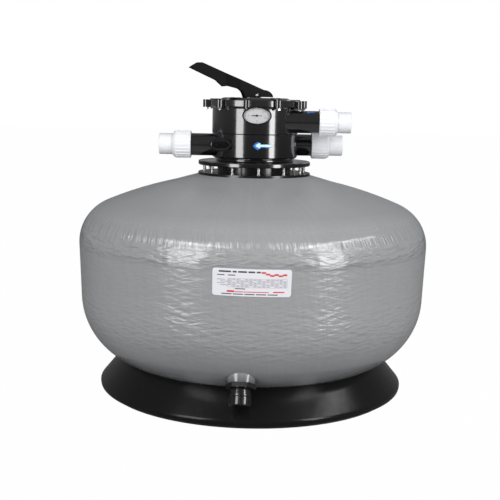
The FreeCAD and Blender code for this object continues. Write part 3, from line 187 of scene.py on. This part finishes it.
# %% Tank material
def tank_material():
    s = Sheet("wound_glassfibre")
    place = s.place()
    axes = s.node("ShaderNodeSeparateXYZ", None, [place])
    x, y, z = (Wire(s, axes.socket.node.outputs[i]) for i in range(3))
    radius = s.node("ShaderNodeMath", {"operation": "SQRT"}, [x * x + y * y + 1e-6])
    cos_turn, sin_turn = x / radius, y / radius

    def strands(round_rate, rise_rate, slant, detail, lean=0.0):
        across, along = cos_turn + sin_turn * z * lean, sin_turn - cos_turn * z * lean
        vector = s.node("ShaderNodeCombineXYZ", None,
                        [across * round_rate, along * round_rate, z * rise_rate + cos_turn * slant])
        return s.noise(vector, 1.0, detail, 0.55)

    rising = strands(11.0, 84.0, 10.0, 1.0)
    falling = strands(12.0, 92.0, -11.0, 1.0)
    meridian = strands(60.0, 9.0, 0.0, 1.0, lean=-0.22)
    wall = z.above(0.22, 0.06) * (1 - z.above(0.568, 0.014))
    foot = z.above(0.25, 0.05) * (1 - z.above(0.37, 0.06))
    knuckle = z.above(0.515, 0.02) * (1 - z.above(0.565, 0.012))
    shoulder = z.above(0.568, 0.012) * (1 - z.above(0.6, 0.02))
    ripple = (wall + knuckle * 2.6 + foot * 0.9) * (rising + falling) + (1 - wall) * rising * 0.2
    ripple = ripple + meridian * (shoulder * 4.0 + 0.35)
    clouds = s.noise(place, 3.0, 4.0, 0.6)
    threads = strands(40.0, 420.0, 5.0, 3.0)
    shade = (clouds * 0.5 + threads * 0.15 + meridian * 0.35).clamped()
    wound = s.blend(shade, (0.235, 0.24, 0.248, 1), (0.335, 0.34, 0.35, 1))
    # Painted shade: within about 5 cm of the drain nut's middle the wound colour turns to a dark grey,
    # standing in for the shade on the boss under the tank.
    drain_x, drain_y, drain_z = x - DRAIN_BOSS.x, y - DRAIN_BOSS.y, z - DRAIN_BOSS.z
    from_drain = s.node("ShaderNodeMath", {"operation": "SQRT"},
                        [drain_x * drain_x + drain_y * drain_y + drain_z * drain_z + 1e-6])
    colour = s.blend(1 - from_drain.above(0.052, 0.02), wound, (0.11, 0.112, 0.117, 1))
    normal = s.bump(ripple, 0.0015, 1.0)
    dome = z.above(0.63, 0.05)
    return s.finish(Base_Color=colour, Roughness=0.17 + threads * 0.1 + dome * 0.22, Normal=normal,
                    Coat_Weight=0.5 - dome * 0.46, Coat_Roughness=0.09, IOR=1.52)


# %% [markdown]
# ## Moulded plastics
# Most of the fittings are injection-moulded. Gloss parts have a faint orange-peel ripple, satin parts a fine
# grain, and both vary a little in roughness, because hands and the mould's flow leave the surface uneven.

# %% Plastic materials
def moulded(name, colour, rough, peel=0.0, grain=0.0, coat=0.0, vary=0.05, mottling=0.15, shine=0.5):
    """Injection-moulded plastic: peel is a broad ripple and grain a fine one, in metres."""
    s = Sheet(name)
    place = s.place()
    broad = s.noise(place, 38.0, 2.0)
    tiny = s.noise(place, 900.0, 2.0)
    cloud = s.noise(place, 9.0, 3.0, 0.6)
    dark = tuple(c * (1 - mottling) for c in colour) + (1.0,)
    pale = tuple(c * (1 + mottling) for c in colour) + (1.0,)
    normal = s.bump(broad, peel or 1e-5, 0.6)
    if grain:
        normal = s.bump(tiny, grain, 0.5, normal)
    return s.finish(Base_Color=s.blend(cloud, dark, pale), Roughness=rough - vary + cloud * (2 * vary),
                    Normal=normal, Coat_Weight=coat, Coat_Roughness=0.08, Specular_IOR_Level=shine)


def metal(name, colour, rough, stretch=(1.0, 1.0, 1.0)):
    """Machined metal with fine tool lines along one direction."""
    s = Sheet(name)
    squeezed = s.node("ShaderNodeMapping", None, {"Vector": s.place(), "Scale": stretch})
    lines = s.noise(squeezed, 60.0, 3.0, 0.6)
    dull = tuple(c * 0.8 for c in colour) + (1.0,)
    return s.finish(Base_Color=s.blend(lines, dull, colour + (1.0,)), Metallic=1.0,
                    Roughness=rough - 0.07 + lines * 0.14, Normal=s.bump(lines, 0.00012, 0.4))


def rubber():
    s = Sheet("seal_rubber")
    grain = s.noise(s.place(), 600.0, 3.0)
    colour = s.blend(grain, grey(0.012), grey(0.03))
    return s.finish(Base_Color=colour, Roughness=0.62 + grain * 0.2, Normal=s.bump(grain, 0.00015, 0.5))


def clear_plastic():
    s = Sheet("clear_acrylic")
    haze = s.noise(s.place(), 120.0, 2.0)
    return s.finish(Base_Color=(0.02, 0.022, 0.025, 1), Roughness=0.03 + haze * 0.03, Alpha=0.13,
                    Specular_IOR_Level=1.0, IOR=1.6)


def brushed_dial():
    s = Sheet("dial_face")
    fine = s.noise(s.place(), 500.0, 2.0)
    return s.finish(Base_Color=s.blend(fine, (0.8, 0.78, 0.8, 1), (0.9, 0.88, 0.9, 1)), Metallic=0.0,
                    Roughness=0.42 + fine * 0.1)


# %% Materials by slot
MATERIALS = {
    "tank_glassfibre": tank_material(),
    "base_black": moulded("skirt_plastic", (0.0065, 0.0062, 0.0068), 0.2, 0.0005, 0.00004, shine=0.2),
    "flange_black": moulded("flange_plastic", (0.005, 0.005, 0.006), 0.24, 0.0003, coat=0.2),
    "valve_black": moulded("valve_plastic", (0.0055, 0.0055, 0.0065), 0.16, 0.00025, coat=1.0, shine=0.7),
    "handle_black": moulded("handle_plastic", (0.0045, 0.0043, 0.005), 0.46, 0.0003, 0.00008, shine=0.1),
    "rotor_black": moulded("rotor_plastic", (0.012, 0.012, 0.013), 0.3, 0.0002),
    "drain_black": moulded("drain_plastic", (0.005, 0.005, 0.006), 0.2, 0.00025, coat=0.4),
    "gauge_black": moulded("gauge_plastic", (0.006, 0.006, 0.006), 0.22, 0.0001, coat=0.3),
    "dial_silver": brushed_dial(),
    "needle_black": moulded("needle_paint", (0.006, 0.006, 0.006), 0.4),
    "clear_lens": clear_plastic(),
    "pvc_white": moulded("pipe_pvc", (0.78, 0.79, 0.82), 0.36, 0.0002, 0.00005, mottling=0.03),
    "union_white": moulded("nut_pvc", (0.79, 0.8, 0.83), 0.33, 0.0002, 0.00005, coat=0.1, mottling=0.03),
    "washer_white": moulded("acetal", (0.6, 0.6, 0.57), 0.35, mottling=0.05),
    "stainless": metal("stainless_steel", (0.68, 0.67, 0.65), 0.24, (1.0, 1.0, 12.0)),
    "brass": metal("machined_brass", (0.78, 0.56, 0.25), 0.28),
    "rubber_black": rubber(),
}

for part in frame["record"]["subparts"]:
    piece = NODES[part["node"]]
    for slot in piece.material_slots:
        slot.material = MATERIALS[part["material_slot"]]

# %% [markdown]
# ## Making a piece
# A piece is a mesh with its place in its points, one material and a body to ride on. This helper gives it all
# three, so no piece is left riding on nothing.

# %% Piece helper
def piece_from(name, mesh, material, body, smooth=True):
    made = bpy.data.objects.new(name, mesh)
    bpy.context.scene.collection.objects.link(made)
    mesh.materials.clear()
    mesh.materials.append(material)
    for face in mesh.polygons:
        face.use_smooth = smooth
    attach(made, body)
    print("made", name, "faces", len(mesh.polygons))
    return made


def mesh_from(name, points, faces):
    mesh = bpy.data.meshes.new(name)
    mesh.from_pydata([tuple(p) for p in points], [], faces)
    mesh.validate()
    return mesh


# %% [markdown]
# ## Skins on a turned surface
# Labels and stickers lie on turned surfaces: the tank's wall, the valve's drum, a port. A skin is a small
# grid of points given by a rule, thickened outwards and closed at its rim. The rule `where(u, v, lift)` says
# where a point at (u, v), in metres on the flat skin, comes to lie when it is lifted off the surface.

# %% Skin helper
def rounded_corner_clip(u, v, half_w, half_h, corner):
    """Pull a point of the flat rectangle in to its rounded outline."""
    inside_u, inside_v = half_w - corner, half_h - corner
    du, dv = max(abs(u) - inside_u, 0), max(abs(v) - inside_v, 0)
    size = math.hypot(du, dv)
    if du > 0 and dv > 0 and size > corner:
        du, dv = du * corner / size, dv * corner / size
        u = math.copysign(inside_u + du, u)
        v = math.copysign(inside_v + dv, v)
    return u, v


def spread(half, corner, steps):
    """Stations across a skin: close together at the corners, even between them."""
    turn = [half - corner * (1 - math.cos(math.radians(a))) for a in (90, 67.5, 45, 22.5, 0)]
    inner = [(half - corner) * (2 * i / steps - 1) for i in range(steps + 1)]
    return [-t for t in reversed(turn[1:])] + inner + turn[1:]


def skin(name, where, half_w, half_h, corner, thick, lift=0.0, steps=12):
    us = spread(half_w, corner, steps)
    vs = spread(half_h, corner, max(2, steps // 2))
    corners = [[rounded_corner_clip(u, v, half_w, half_h, corner) for u in us] for v in vs]
    points = [where(u, v, lift + thick) for row in corners for u, v in row]
    points += [where(u, v, lift) for row in corners for u, v in row]
    columns, rows = len(us), len(vs)
    back = columns * rows
    faces = []
    for j in range(rows - 1):
        for i in range(columns - 1):
            a = j * columns + i
            faces.append((a, a + 1, a + 1 + columns, a + columns))
            faces.append((back + a, back + a + columns, back + a + 1 + columns, back + a + 1))
    rim = [i for i in range(columns)] + [j * columns + columns - 1 for j in range(1, rows)]
    rim += [(rows - 1) * columns + i for i in range(columns - 2, -1, -1)]
    rim += [j * columns for j in range(rows - 2, 0, -1)]
    for a, b in zip(rim, rim[1:] + rim[:1]):
        faces.append((b, a, back + a, back + b))
    mesh = mesh_from(name, points, faces)
    work = bmesh.new()
    work.from_mesh(mesh)
    bmesh.ops.remove_doubles(work, verts=work.verts, dist=1e-7)
    bmesh.ops.recalc_face_normals(work, faces=work.faces)
    work.to_mesh(mesh)
    work.free()
    return mesh


def join_meshes(name, meshes):
    work = bmesh.new()
    for mesh in meshes:
        work.from_mesh(mesh)
    joined = bpy.data.meshes.new(name)
    work.to_mesh(joined)
    work.free()
    return joined


# %% [markdown]
# ## The data label
# A white plate with rounded corners is stuck to the front of the tank. What a maker prints there is left out:
# the plate carries a plain ruled table and red bars of the same weight, with no words.

# %% Label plate and its print
WALL_LEAN = math.tan(math.radians(2.2))
WALL_TOP_Z = 0.509
LABEL_Z = 0.474
LABEL_W = 0.234
LABEL_H = 0.082
LABEL_TILT = math.radians(-0.7)


def wall_radius(z):
    """Radius of the tank's leaning wall at a height, and of the knuckle just above it."""
    if z <= WALL_TOP_Z:
        return TANK_R + (z - WALL_TOP_Z) * WALL_LEAN
    return TANK_R


def on_wall(u, v, lift):
    across = u * math.cos(LABEL_TILT) - v * math.sin(LABEL_TILT)
    z = LABEL_Z + u * math.sin(LABEL_TILT) + v * math.cos(LABEL_TILT)
    radius = wall_radius(z) + lift
    angle = across / TANK_R
    return Vector((radius * math.sin(angle), -radius * math.cos(angle), z))


def shifted(where, du, dv):
    return lambda u, v, lift: where(u + du, v + dv, lift)


INK = {
    "white": moulded("label_film", (0.72, 0.71, 0.76), 0.3, 0.0001, coat=0.3, mottling=0.03),
    "grey": moulded("label_grey_ink", (0.33, 0.34, 0.37), 0.45),
    "dark": moulded("label_dark_ink", (0.06, 0.06, 0.07), 0.45),
    "red": moulded("label_red_ink", (0.56, 0.05, 0.035), 0.4),
    "blue": moulded("sticker_blue", (0.03, 0.16, 0.5), 0.3, coat=0.3),
    "pale": moulded("sticker_pale", (0.55, 0.78, 0.88), 0.3, coat=0.3),
}
FILM = 0.0006
PRINT = 0.0002

plate = skin("label_plate", on_wall, LABEL_W / 2, LABEL_H / 2, 0.008, FILM, 0.0001, steps=24)
piece_from("label_plate", plate, INK["white"], "filter")


def bar(where, u, v, w, h, lift=FILM + 0.0001, thick=PRINT):
    """Printed bar on a skin, centred at (u, v)."""
    corner = min(w, h) * 0.2
    return skin("bar", shifted(where, u, v), w / 2, h / 2, corner, thick, lift, steps=max(2, int(w / 0.012)))


def label_table():
    left, right, top, bottom = -0.072, 0.104, 0.012, -0.014
    rows, columns = 5, 14
    lines = [bar(on_wall, (left + right) / 2, bottom + (top - bottom) * i / rows, right - left, 0.0007)
             for i in range(rows + 1)]
    lines += [bar(on_wall, left + (right - left) * i / columns, (top + bottom) / 2, 0.0007, top - bottom)
              for i in range(columns + 1)]
    lines += [bar(on_wall, -0.091 + 0.01 * (i % 2), top - 0.004 - 0.0055 * i, 0.024, 0.0022)
              for i in range(4)]
    step_u, step_v = (right - left) / columns, (top - bottom) / rows
    for row in range(rows):
        for column in range(columns):
            if (3 * row + column) % 5:
                u, v = left + step_u * (column + 0.5), bottom + step_v * (row + 0.5)
                lines.append(bar(on_wall, u, v, step_u * 0.6, step_v * 0.42))
    return join_meshes("label_table", lines)


def label_heading():
    starts = [(-0.098, 0.036), (-0.057, 0.012), (-0.041, 0.026), (-0.011, 0.02), (0.013, 0.012)]
    bars = [bar(on_wall, u + w / 2, 0.032, w, 0.005) for u, w in starts]
    bars += [bar(on_wall, u, -0.0345, 0.03, 0.003) for u in (-0.074, -0.04, -0.006, 0.028, 0.062)]
    bars += [bar(on_wall, u, 0.0215, 0.022, 0.0028) for u in (-0.092, -0.06)]
    bars += [bar(on_wall, -0.034, -0.0185, 0.03, 0.0028)]
    return join_meshes("label_heading", bars)


def label_accents():
    bars = [bar(on_wall, -0.062, -0.0265, 0.022, 0.0056), bar(on_wall, 0.0, -0.0275, 0.1, 0.0024),
            bar(on_wall, 0.08, -0.0265, 0.034, 0.0036)]
    heights = (0.031, 0.0265, 0.0225, 0.0255, 0.022, 0.025)
    bars += [bar(on_wall, 0.034 + 0.0125 * i, height, 0.013, 0.0052) for i, height in enumerate(heights)]
    return join_meshes("label_accents", bars)


piece_from("label_table", label_table(), INK["grey"], "filter")
piece_from("label_heading", label_heading(), INK["dark"], "filter")
piece_from("label_accents", label_accents(), INK["red"], "filter")

# %% [markdown]
# ## Flow stickers
# Small arrows show which way the water runs. One sits on the front of the valve's lower drum, one on the top
# port. They are plain arrows in two blues: an outline of few points, bent onto the drum.

# %% Arrow stickers
VALVE_R = 0.147
PUMP_PORT = middle("pump_union_nut")
PORT_R = 0.0375


def on_drum(centre_x, centre_z):
    """Rule for the valve's drum, facing the front."""
    start = math.asin(centre_x / VALVE_R)
    return lambda u, v, lift: Vector(((VALVE_R + lift) * math.sin(start + u / VALVE_R),
                                      -(VALVE_R + lift) * math.cos(start + u / VALVE_R), centre_z + v))


def on_port(x, angle):
    """Rule for the top port, at an angle up from its front."""
    return lambda u, v, lift: Vector((x + u, PUMP_PORT.y - (PORT_R + lift) * math.cos(angle + v / PORT_R),
                                      PUMP_PORT.z + (PORT_R + lift) * math.sin(angle + v / PORT_R)))


def arrow(name, where, length, height, thick, lift):
    """Solid arrow that points to -u: strips across it follow the bend of the surface."""
    stations = [(-0.5, 0.0), (-0.4, 0.28), (-0.25, 0.5), (-0.2, 0.5), (-0.2, 0.2), (0.0, 0.2), (0.2, 0.2),
                (0.5, 0.14)]
    top, under, faces = [], [], []
    for along, half in stations:
        for side in (-1, 0, 1):
            top.append(where(along * length, side * half * height, lift + thick))
            under.append(where(along * length, side * half * height, lift))
    back = len(top)
    for i in range(len(stations) - 1):
        for j in range(2):
            a = 3 * i + j
            faces += [(a, a + 3, a + 4, a + 1), (back + a, back + a + 1, back + a + 4, back + a + 3)]
        a = 3 * i
        faces += [(a, back + a, back + a + 3, a + 3), (a + 2, a + 5, back + a + 5, back + a + 2)]
    end = 3 * (len(stations) - 1)
    for j in range(2):
        faces += [(end + j, back + end + j, back + end + j + 1, end + j + 1)]
    mesh = mesh_from(name, top + under, faces)
    work = bmesh.new()
    work.from_mesh(mesh)
    bmesh.ops.remove_doubles(work, verts=work.verts, dist=1e-7)
    bmesh.ops.recalc_face_normals(work, faces=work.faces)
    work.to_mesh(mesh)
    work.free()
    return mesh


drum_rule = on_drum(0.027, 0.851)
piece_from("flow_arrow_outline", arrow("flow_arrow_outline", drum_rule, 0.066, 0.027, 0.0003, 0.0001),
           INK["blue"], "filter", smooth=False)
piece_from("flow_arrow", arrow("flow_arrow", shifted(drum_rule, 0.003, 0.001), 0.056, 0.018, 0.0003, 0.0004),
           INK["pale"], "filter", smooth=False)
port_rule = on_port(0.186, math.radians(62))
piece_from("port_arrow", arrow("port_arrow", port_rule, 0.026, 0.016, 0.0003, 0.0001), INK["blue"], "filter",
           smooth=False)

# %% [markdown]
# ## Geometry Nodes for what repeats
# The bolts' threads show in the gap between the two flanges. One thread is a spiral with a small three-sided
# section; Geometry Nodes copy it to each bolt. The tree has named inputs, ends in Realize Instances and Set
# Material, and its result is turned into a plain mesh, because the export drops live instances.

# %% Tree helper
class Tree:
    """A Geometry Nodes tree with named number inputs."""

    def __init__(self, name, inputs):
        self.group = bpy.data.node_groups.new(name, "GeometryNodeTree")
        self.group.interface.new_socket("Geometry", in_out="OUTPUT", socket_type="NodeSocketGeometry")
        self.ids = {}
        for label, value in inputs.items():
            kind = "NodeSocketInt" if isinstance(value, int) else "NodeSocketFloat"
            made = self.group.interface.new_socket(label, in_out="INPUT", socket_type=kind)
            self.ids[label] = made.identifier
        self.values = inputs
        self.entry = self.group.nodes.new("NodeGroupInput")

    def given(self, label):
        return self.entry.outputs[label]

    def node(self, kind, settings=None, inputs=None, output=0):
        made = self.group.nodes.new(kind)
        for key, value in (settings or {}).items():
            setattr(made, key, value)
        for key, value in (inputs or {}).items():
            if isinstance(value, bpy.types.NodeSocket):
                self.group.links.new(value, made.inputs[key])
            else:
                made.inputs[key].default_value = value
        return made.outputs[output]

    def grown(self, name, geometry, material, origin, body, slot, spin=None, smooth=True):
        """Close the tree, run it and keep its result as a plain mesh at a place."""
        real = self.node("GeometryNodeRealizeInstances", None, {"Geometry": geometry})
        painted = self.node("GeometryNodeSetMaterial", None, {"Geometry": real, "Material": material})
        end = self.group.nodes.new("NodeGroupOutput")
        self.group.links.new(painted, end.inputs[0])
        host = bpy.data.objects.new(name + "_host", bpy.data.meshes.new(name + "_host"))
        bpy.context.scene.collection.objects.link(host)
        modifier = host.modifiers.new("grown", "NODES")
        modifier.node_group = self.group
        for label, value in self.values.items():
            modifier[self.ids[label]] = value
        graph = bpy.context.evaluated_depsgraph_get()
        mesh = bpy.data.meshes.new_from_object(host.evaluated_get(graph))
        host.modifiers.remove(modifier)
        bpy.data.objects.remove(host)
        place = Matrix.Translation(origin)
        if spin is not None:
            place = place @ spin
        mesh.transform(place)
        mesh.name = name
        return piece_from(name, mesh, material, body, smooth)


# %% Bolt threads
BOLT_COUNT = 12
BOLT_CIRCLE = 0.172
BOLT_PHASE = math.radians(5)
BOLT_PITCH = 0.0015


def bolt_threads():
    gap_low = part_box("flange_inserts")[1][2]
    gap_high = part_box("neck_seal")[1][2]
    height = gap_high - gap_low - 0.001
    tree = Tree("bolt_threads", {"Bolts": BOLT_COUNT, "Bolt circle": BOLT_CIRCLE, "Thread radius": 0.0051,
                                 "Thread depth": 0.0007, "Height": height, "Turns": height / BOLT_PITCH})
    radius = tree.given("Thread radius")
    spiral = tree.node("GeometryNodeCurveSpiral", None,
                       {"Resolution": 14, "Rotations": tree.given("Turns"), "Start Radius": radius,
                        "End Radius": radius, "Height": tree.given("Height")})
    section = tree.node("GeometryNodeCurvePrimitiveCircle", None,
                        {"Resolution": 3, "Radius": tree.given("Thread depth")})
    thread = tree.node("GeometryNodeCurveToMesh", None,
                       {"Curve": spiral, "Profile Curve": section, "Fill Caps": True})
    ring = tree.node("GeometryNodeMeshCircle", None,
                     {"Vertices": tree.given("Bolts"), "Radius": tree.given("Bolt circle")})
    copies = tree.node("GeometryNodeInstanceOnPoints", None, {"Points": ring, "Instance": thread})
    spin = Matrix.Rotation(BOLT_PHASE, 4, "Z")
    origin = (0, 0, gap_low + 0.0005)
    return tree.grown("flange_bolt_threads", copies, MATERIALS["stainless"], origin, "filter", "stainless",
                      spin)


bolt_threads()

# %% [markdown]
# ## The gauge's scale
# The dial is printed with ticks on an oval and the plain numbers 0 to 4. Each tick is a small solid bar that
# runs from an inner to an outer point of the oval, and every fifth is longer and thicker.

# %% Dial ticks and numbers
DIAL = middle("gauge_dial")
DIAL_FRONT = low("gauge_dial").y
DIAL_HALF_W = (high("gauge_dial").x - low("gauge_dial").x) / 2
DIAL_HALF_H = (high("gauge_dial").z - low("gauge_dial").z) / 2
SCALE_START = math.radians(180)
SCALE_SWEEP = math.radians(-270)
SCALE_TICKS = 21
DIAL_FIGURE = 0.0075


def on_dial(turn, share):
    """Point on an oval that is a share of the dial's outline."""
    return Vector((DIAL.x + DIAL_HALF_W * share * math.cos(turn), DIAL_FRONT,
                   DIAL.z + DIAL_HALF_H * share * math.sin(turn)))


def dial_ticks():
    pieces = []
    for i in range(SCALE_TICKS):
        turn = SCALE_START + SCALE_SWEEP * i / (SCALE_TICKS - 1)
        long_tick = i % 5 == 0
        outer, inner = on_dial(turn, 0.93), on_dial(turn, 0.8 if long_tick else 0.86)
        along = (outer - inner).normalized()
        side = along.cross(Vector((0, 1, 0))) * (0.0005 if long_tick else 0.0003)
        front = Vector((0, -0.0002, 0))
        corners = [inner - side, inner + side, outer + side, outer - side]
        points = corners + [c + front for c in corners]
        faces = [(4, 5, 6, 7), (3, 2, 1, 0), (0, 1, 5, 4), (1, 2, 6, 5), (2, 3, 7, 6), (3, 0, 4, 7)]
        pieces.append(mesh_from("tick", points, faces))
    return join_meshes("dial_ticks", pieces)


def raised_text(name, body_text, size, depth, place):
    """Plain number as a solid mesh, standing on the surface that its place's Z axis leaves."""
    curve = bpy.data.curves.new(name, "FONT")
    curve.body = body_text
    curve.size = size
    curve.extrude = depth / 2
    curve.align_x = "CENTER"
    curve.align_y = "CENTER"
    holder = bpy.data.objects.new(name + "_curve", curve)
    bpy.context.scene.collection.objects.link(holder)
    graph = bpy.context.evaluated_depsgraph_get()
    mesh = bpy.data.meshes.new_from_object(holder.evaluated_get(graph))
    bpy.data.objects.remove(holder)
    mesh.transform(place)
    return mesh


def dial_numbers():
    facing = Matrix.Rotation(math.radians(90), 4, "X")
    pieces = []
    for i in range(5):
        turn = SCALE_START + SCALE_SWEEP * i / 4
        place = Matrix.Translation(on_dial(turn, 0.64) + Vector((0, -0.0001, 0))) @ facing
        pieces.append(raised_text("dial_number", str(i), DIAL_FIGURE, PRINT, place))
    return join_meshes("dial_numbers", pieces)


piece_from("dial_ticks", dial_ticks(), INK["dark"], "filter", smooth=False)
piece_from("dial_numbers", dial_numbers(), INK["dark"], "filter", smooth=False)

# %% [markdown]
# ## The lid's position numbers
# The lever is set to one of six positions. Beside each notch a plain number is moulded into the lid, in the
# lid's own black. Blender's built-in font gives the figures, which become solid meshes like everything else.

# %% Raised numbers on the lid
LID_TOP = high("valve_lid").z
LEVER_TURN = math.radians(15)
NUMBER_R = 0.083
LID_FIGURE = 0.022
LID_FIGURE_RISE = 0.0012


def lid_numbers():
    pieces = []
    for i in range(6):
        turn = math.pi + LEVER_TURN + i * math.pi / 3
        spin = Matrix.Rotation(turn + math.pi / 2, 4, "Z")
        spot = (NUMBER_R * math.cos(turn), NUMBER_R * math.sin(turn), LID_TOP + 0.0003)
        place = Matrix.Translation(spot) @ spin
        pieces.append(raised_text("lid_number", str(i + 1), LID_FIGURE, LID_FIGURE_RISE, place))
    return join_meshes("lid_numbers", pieces)


piece_from("lid_position_numbers", lid_numbers(), MATERIALS["valve_black"], "filter",
           smooth=False)

# %% [markdown]
# ## Floor, light and camera
# A studio lights such a tank with two tall soft boxes, left and right of the lens: they draw the two upright
# bands on the wall and on the valve. A thin strip over each draws the bright arc on the shoulder. Two more
# lamps only fill, from above and behind, and leave no mirror image. The floor and the sky are plain and pale.

# %% Floor and sky
FLOOR_HALF = 30.0
FLOOR_WHITE = 0.992
SKY_GLOW = 0.205


def pale_floor():
    """White paper: bright to the lens, darker as a reflector, so that black plastic stays black."""
    s = Sheet("floor_paper")
    grain = s.noise(s.place(), 2.0, 3.0)
    paper = s.node("ShaderNodeBsdfPrincipled", None,
                   {"Base Color": s.blend(grain, grey(0.24), grey(0.27)), "Roughness": 0.9,
                    "Specular IOR Level": 0.1})
    glow = s.node("ShaderNodeEmission", None, {"Color": grey(1.0), "Strength": 1.0})
    seen = s.node("ShaderNodeLightPath", output="Is Camera Ray")
    mixed = s.node("ShaderNodeMixShader", None, {0: seen * FLOOR_WHITE, 1: paper, 2: glow})
    s.tree.links.new(mixed.socket, s.output.inputs["Surface"])
    half = FLOOR_HALF
    corners = [(-half, -half, 0), (half, -half, 0), (half, half, 0), (-half, half, 0)]
    mesh = mesh_from("floor", corners, [(0, 1, 2, 3)])
    floor = bpy.data.objects.new("floor", mesh)
    bpy.context.scene.collection.objects.link(floor)
    mesh.materials.append(s.material)


def pale_sky(seen_level, light_level):
    world = bpy.data.worlds.new("studio")
    bpy.context.scene.world = world
    world.use_nodes = True
    tree = world.node_tree
    tree.nodes.clear()
    path = tree.nodes.new("ShaderNodeLightPath")
    seen = tree.nodes.new("ShaderNodeBackground")
    seen.inputs["Strength"].default_value = seen_level
    seen.inputs["Color"].default_value = grey(1.0)
    lit = tree.nodes.new("ShaderNodeBackground")
    lit.inputs["Strength"].default_value = light_level
    lit.inputs["Color"].default_value = grey(1.0)
    mix = tree.nodes.new("ShaderNodeMixShader")
    output = tree.nodes.new("ShaderNodeOutputWorld")
    tree.links.new(path.outputs["Is Camera Ray"], mix.inputs[0])
    tree.links.new(lit.outputs[0], mix.inputs[1])
    tree.links.new(seen.outputs[0], mix.inputs[2])
    tree.links.new(mix.outputs[0], output.inputs["Surface"])


pale_floor()
pale_sky(1.0, SKY_GLOW)
bpy.context.scene.view_settings.view_transform = "Standard"
print("floor and sky ready")

# %% Soft boxes
AIM_Z = 0.5


def soft_box(name, azimuth, distance, height, width, tall, power, mirrored=True):
    """Lamp that faces the tank; azimuth 0 is the lens's side and positive is to the right."""
    lamp = bpy.data.lights.new(name, "AREA")
    lamp.shape = "RECTANGLE"
    lamp.size = width
    lamp.size_y = tall
    lamp.energy = power
    turn = math.radians(azimuth)
    at = Vector((distance * math.sin(turn), -distance * math.cos(turn), height))
    made = bpy.data.objects.new(name, lamp)
    bpy.context.scene.collection.objects.link(made)
    made.visible_glossy = mirrored
    aim = (Vector((0, 0, AIM_Z)) - at).to_track_quat("-Z", "Y").to_matrix().to_4x4()
    made.matrix_world = Matrix.Translation(at) @ aim
    print("lamp", name, "at", tuple(round(v, 2) for v in at))


soft_box("left_box", -40, 3.4, 1.45, 1.25, 2.9, 74)
soft_box("right_box", 46, 3.4, 1.45, 0.95, 2.9, 78)
soft_box("left_strip", -38, 3.4, 3.1, 3.0, 0.3, 26)
soft_box("right_strip", 62, 3.4, 3.2, 4.6, 0.3, 42)
soft_box("sky_box", 70, 1.6, 3.6, 2.5, 2.5, 10, mirrored=False)
soft_box("back_box", 180, 3.6, 1.9, 2.6, 2.0, 35, mirrored=False)

# %% Camera
LENS_TO_AXIS = 3.41
LENS_HEIGHT = 1.0005
LENS_PITCH = math.radians(8.68)
LENS_YAW = math.radians(0.15)
LENS_ROLL = math.radians(1.1)
SENSOR = 36
FOCAL = 1.9616 * SENSOR


def add_camera():
    data = bpy.data.cameras.new("camera")
    data.sensor_width = SENSOR
    data.lens = FOCAL
    made = bpy.data.objects.new("camera", data)
    bpy.context.scene.collection.objects.link(made)
    look = Matrix.Rotation(LENS_YAW, 4, "Z") @ Matrix.Rotation(math.radians(90) - LENS_PITCH, 4, "X")
    stand = Matrix.Translation((0, -LENS_TO_AXIS, LENS_HEIGHT))
    made.matrix_world = stand @ look @ Matrix.Rotation(LENS_ROLL, 4, "Z")
    bpy.context.scene.camera = made


add_camera()
print("camera ready")
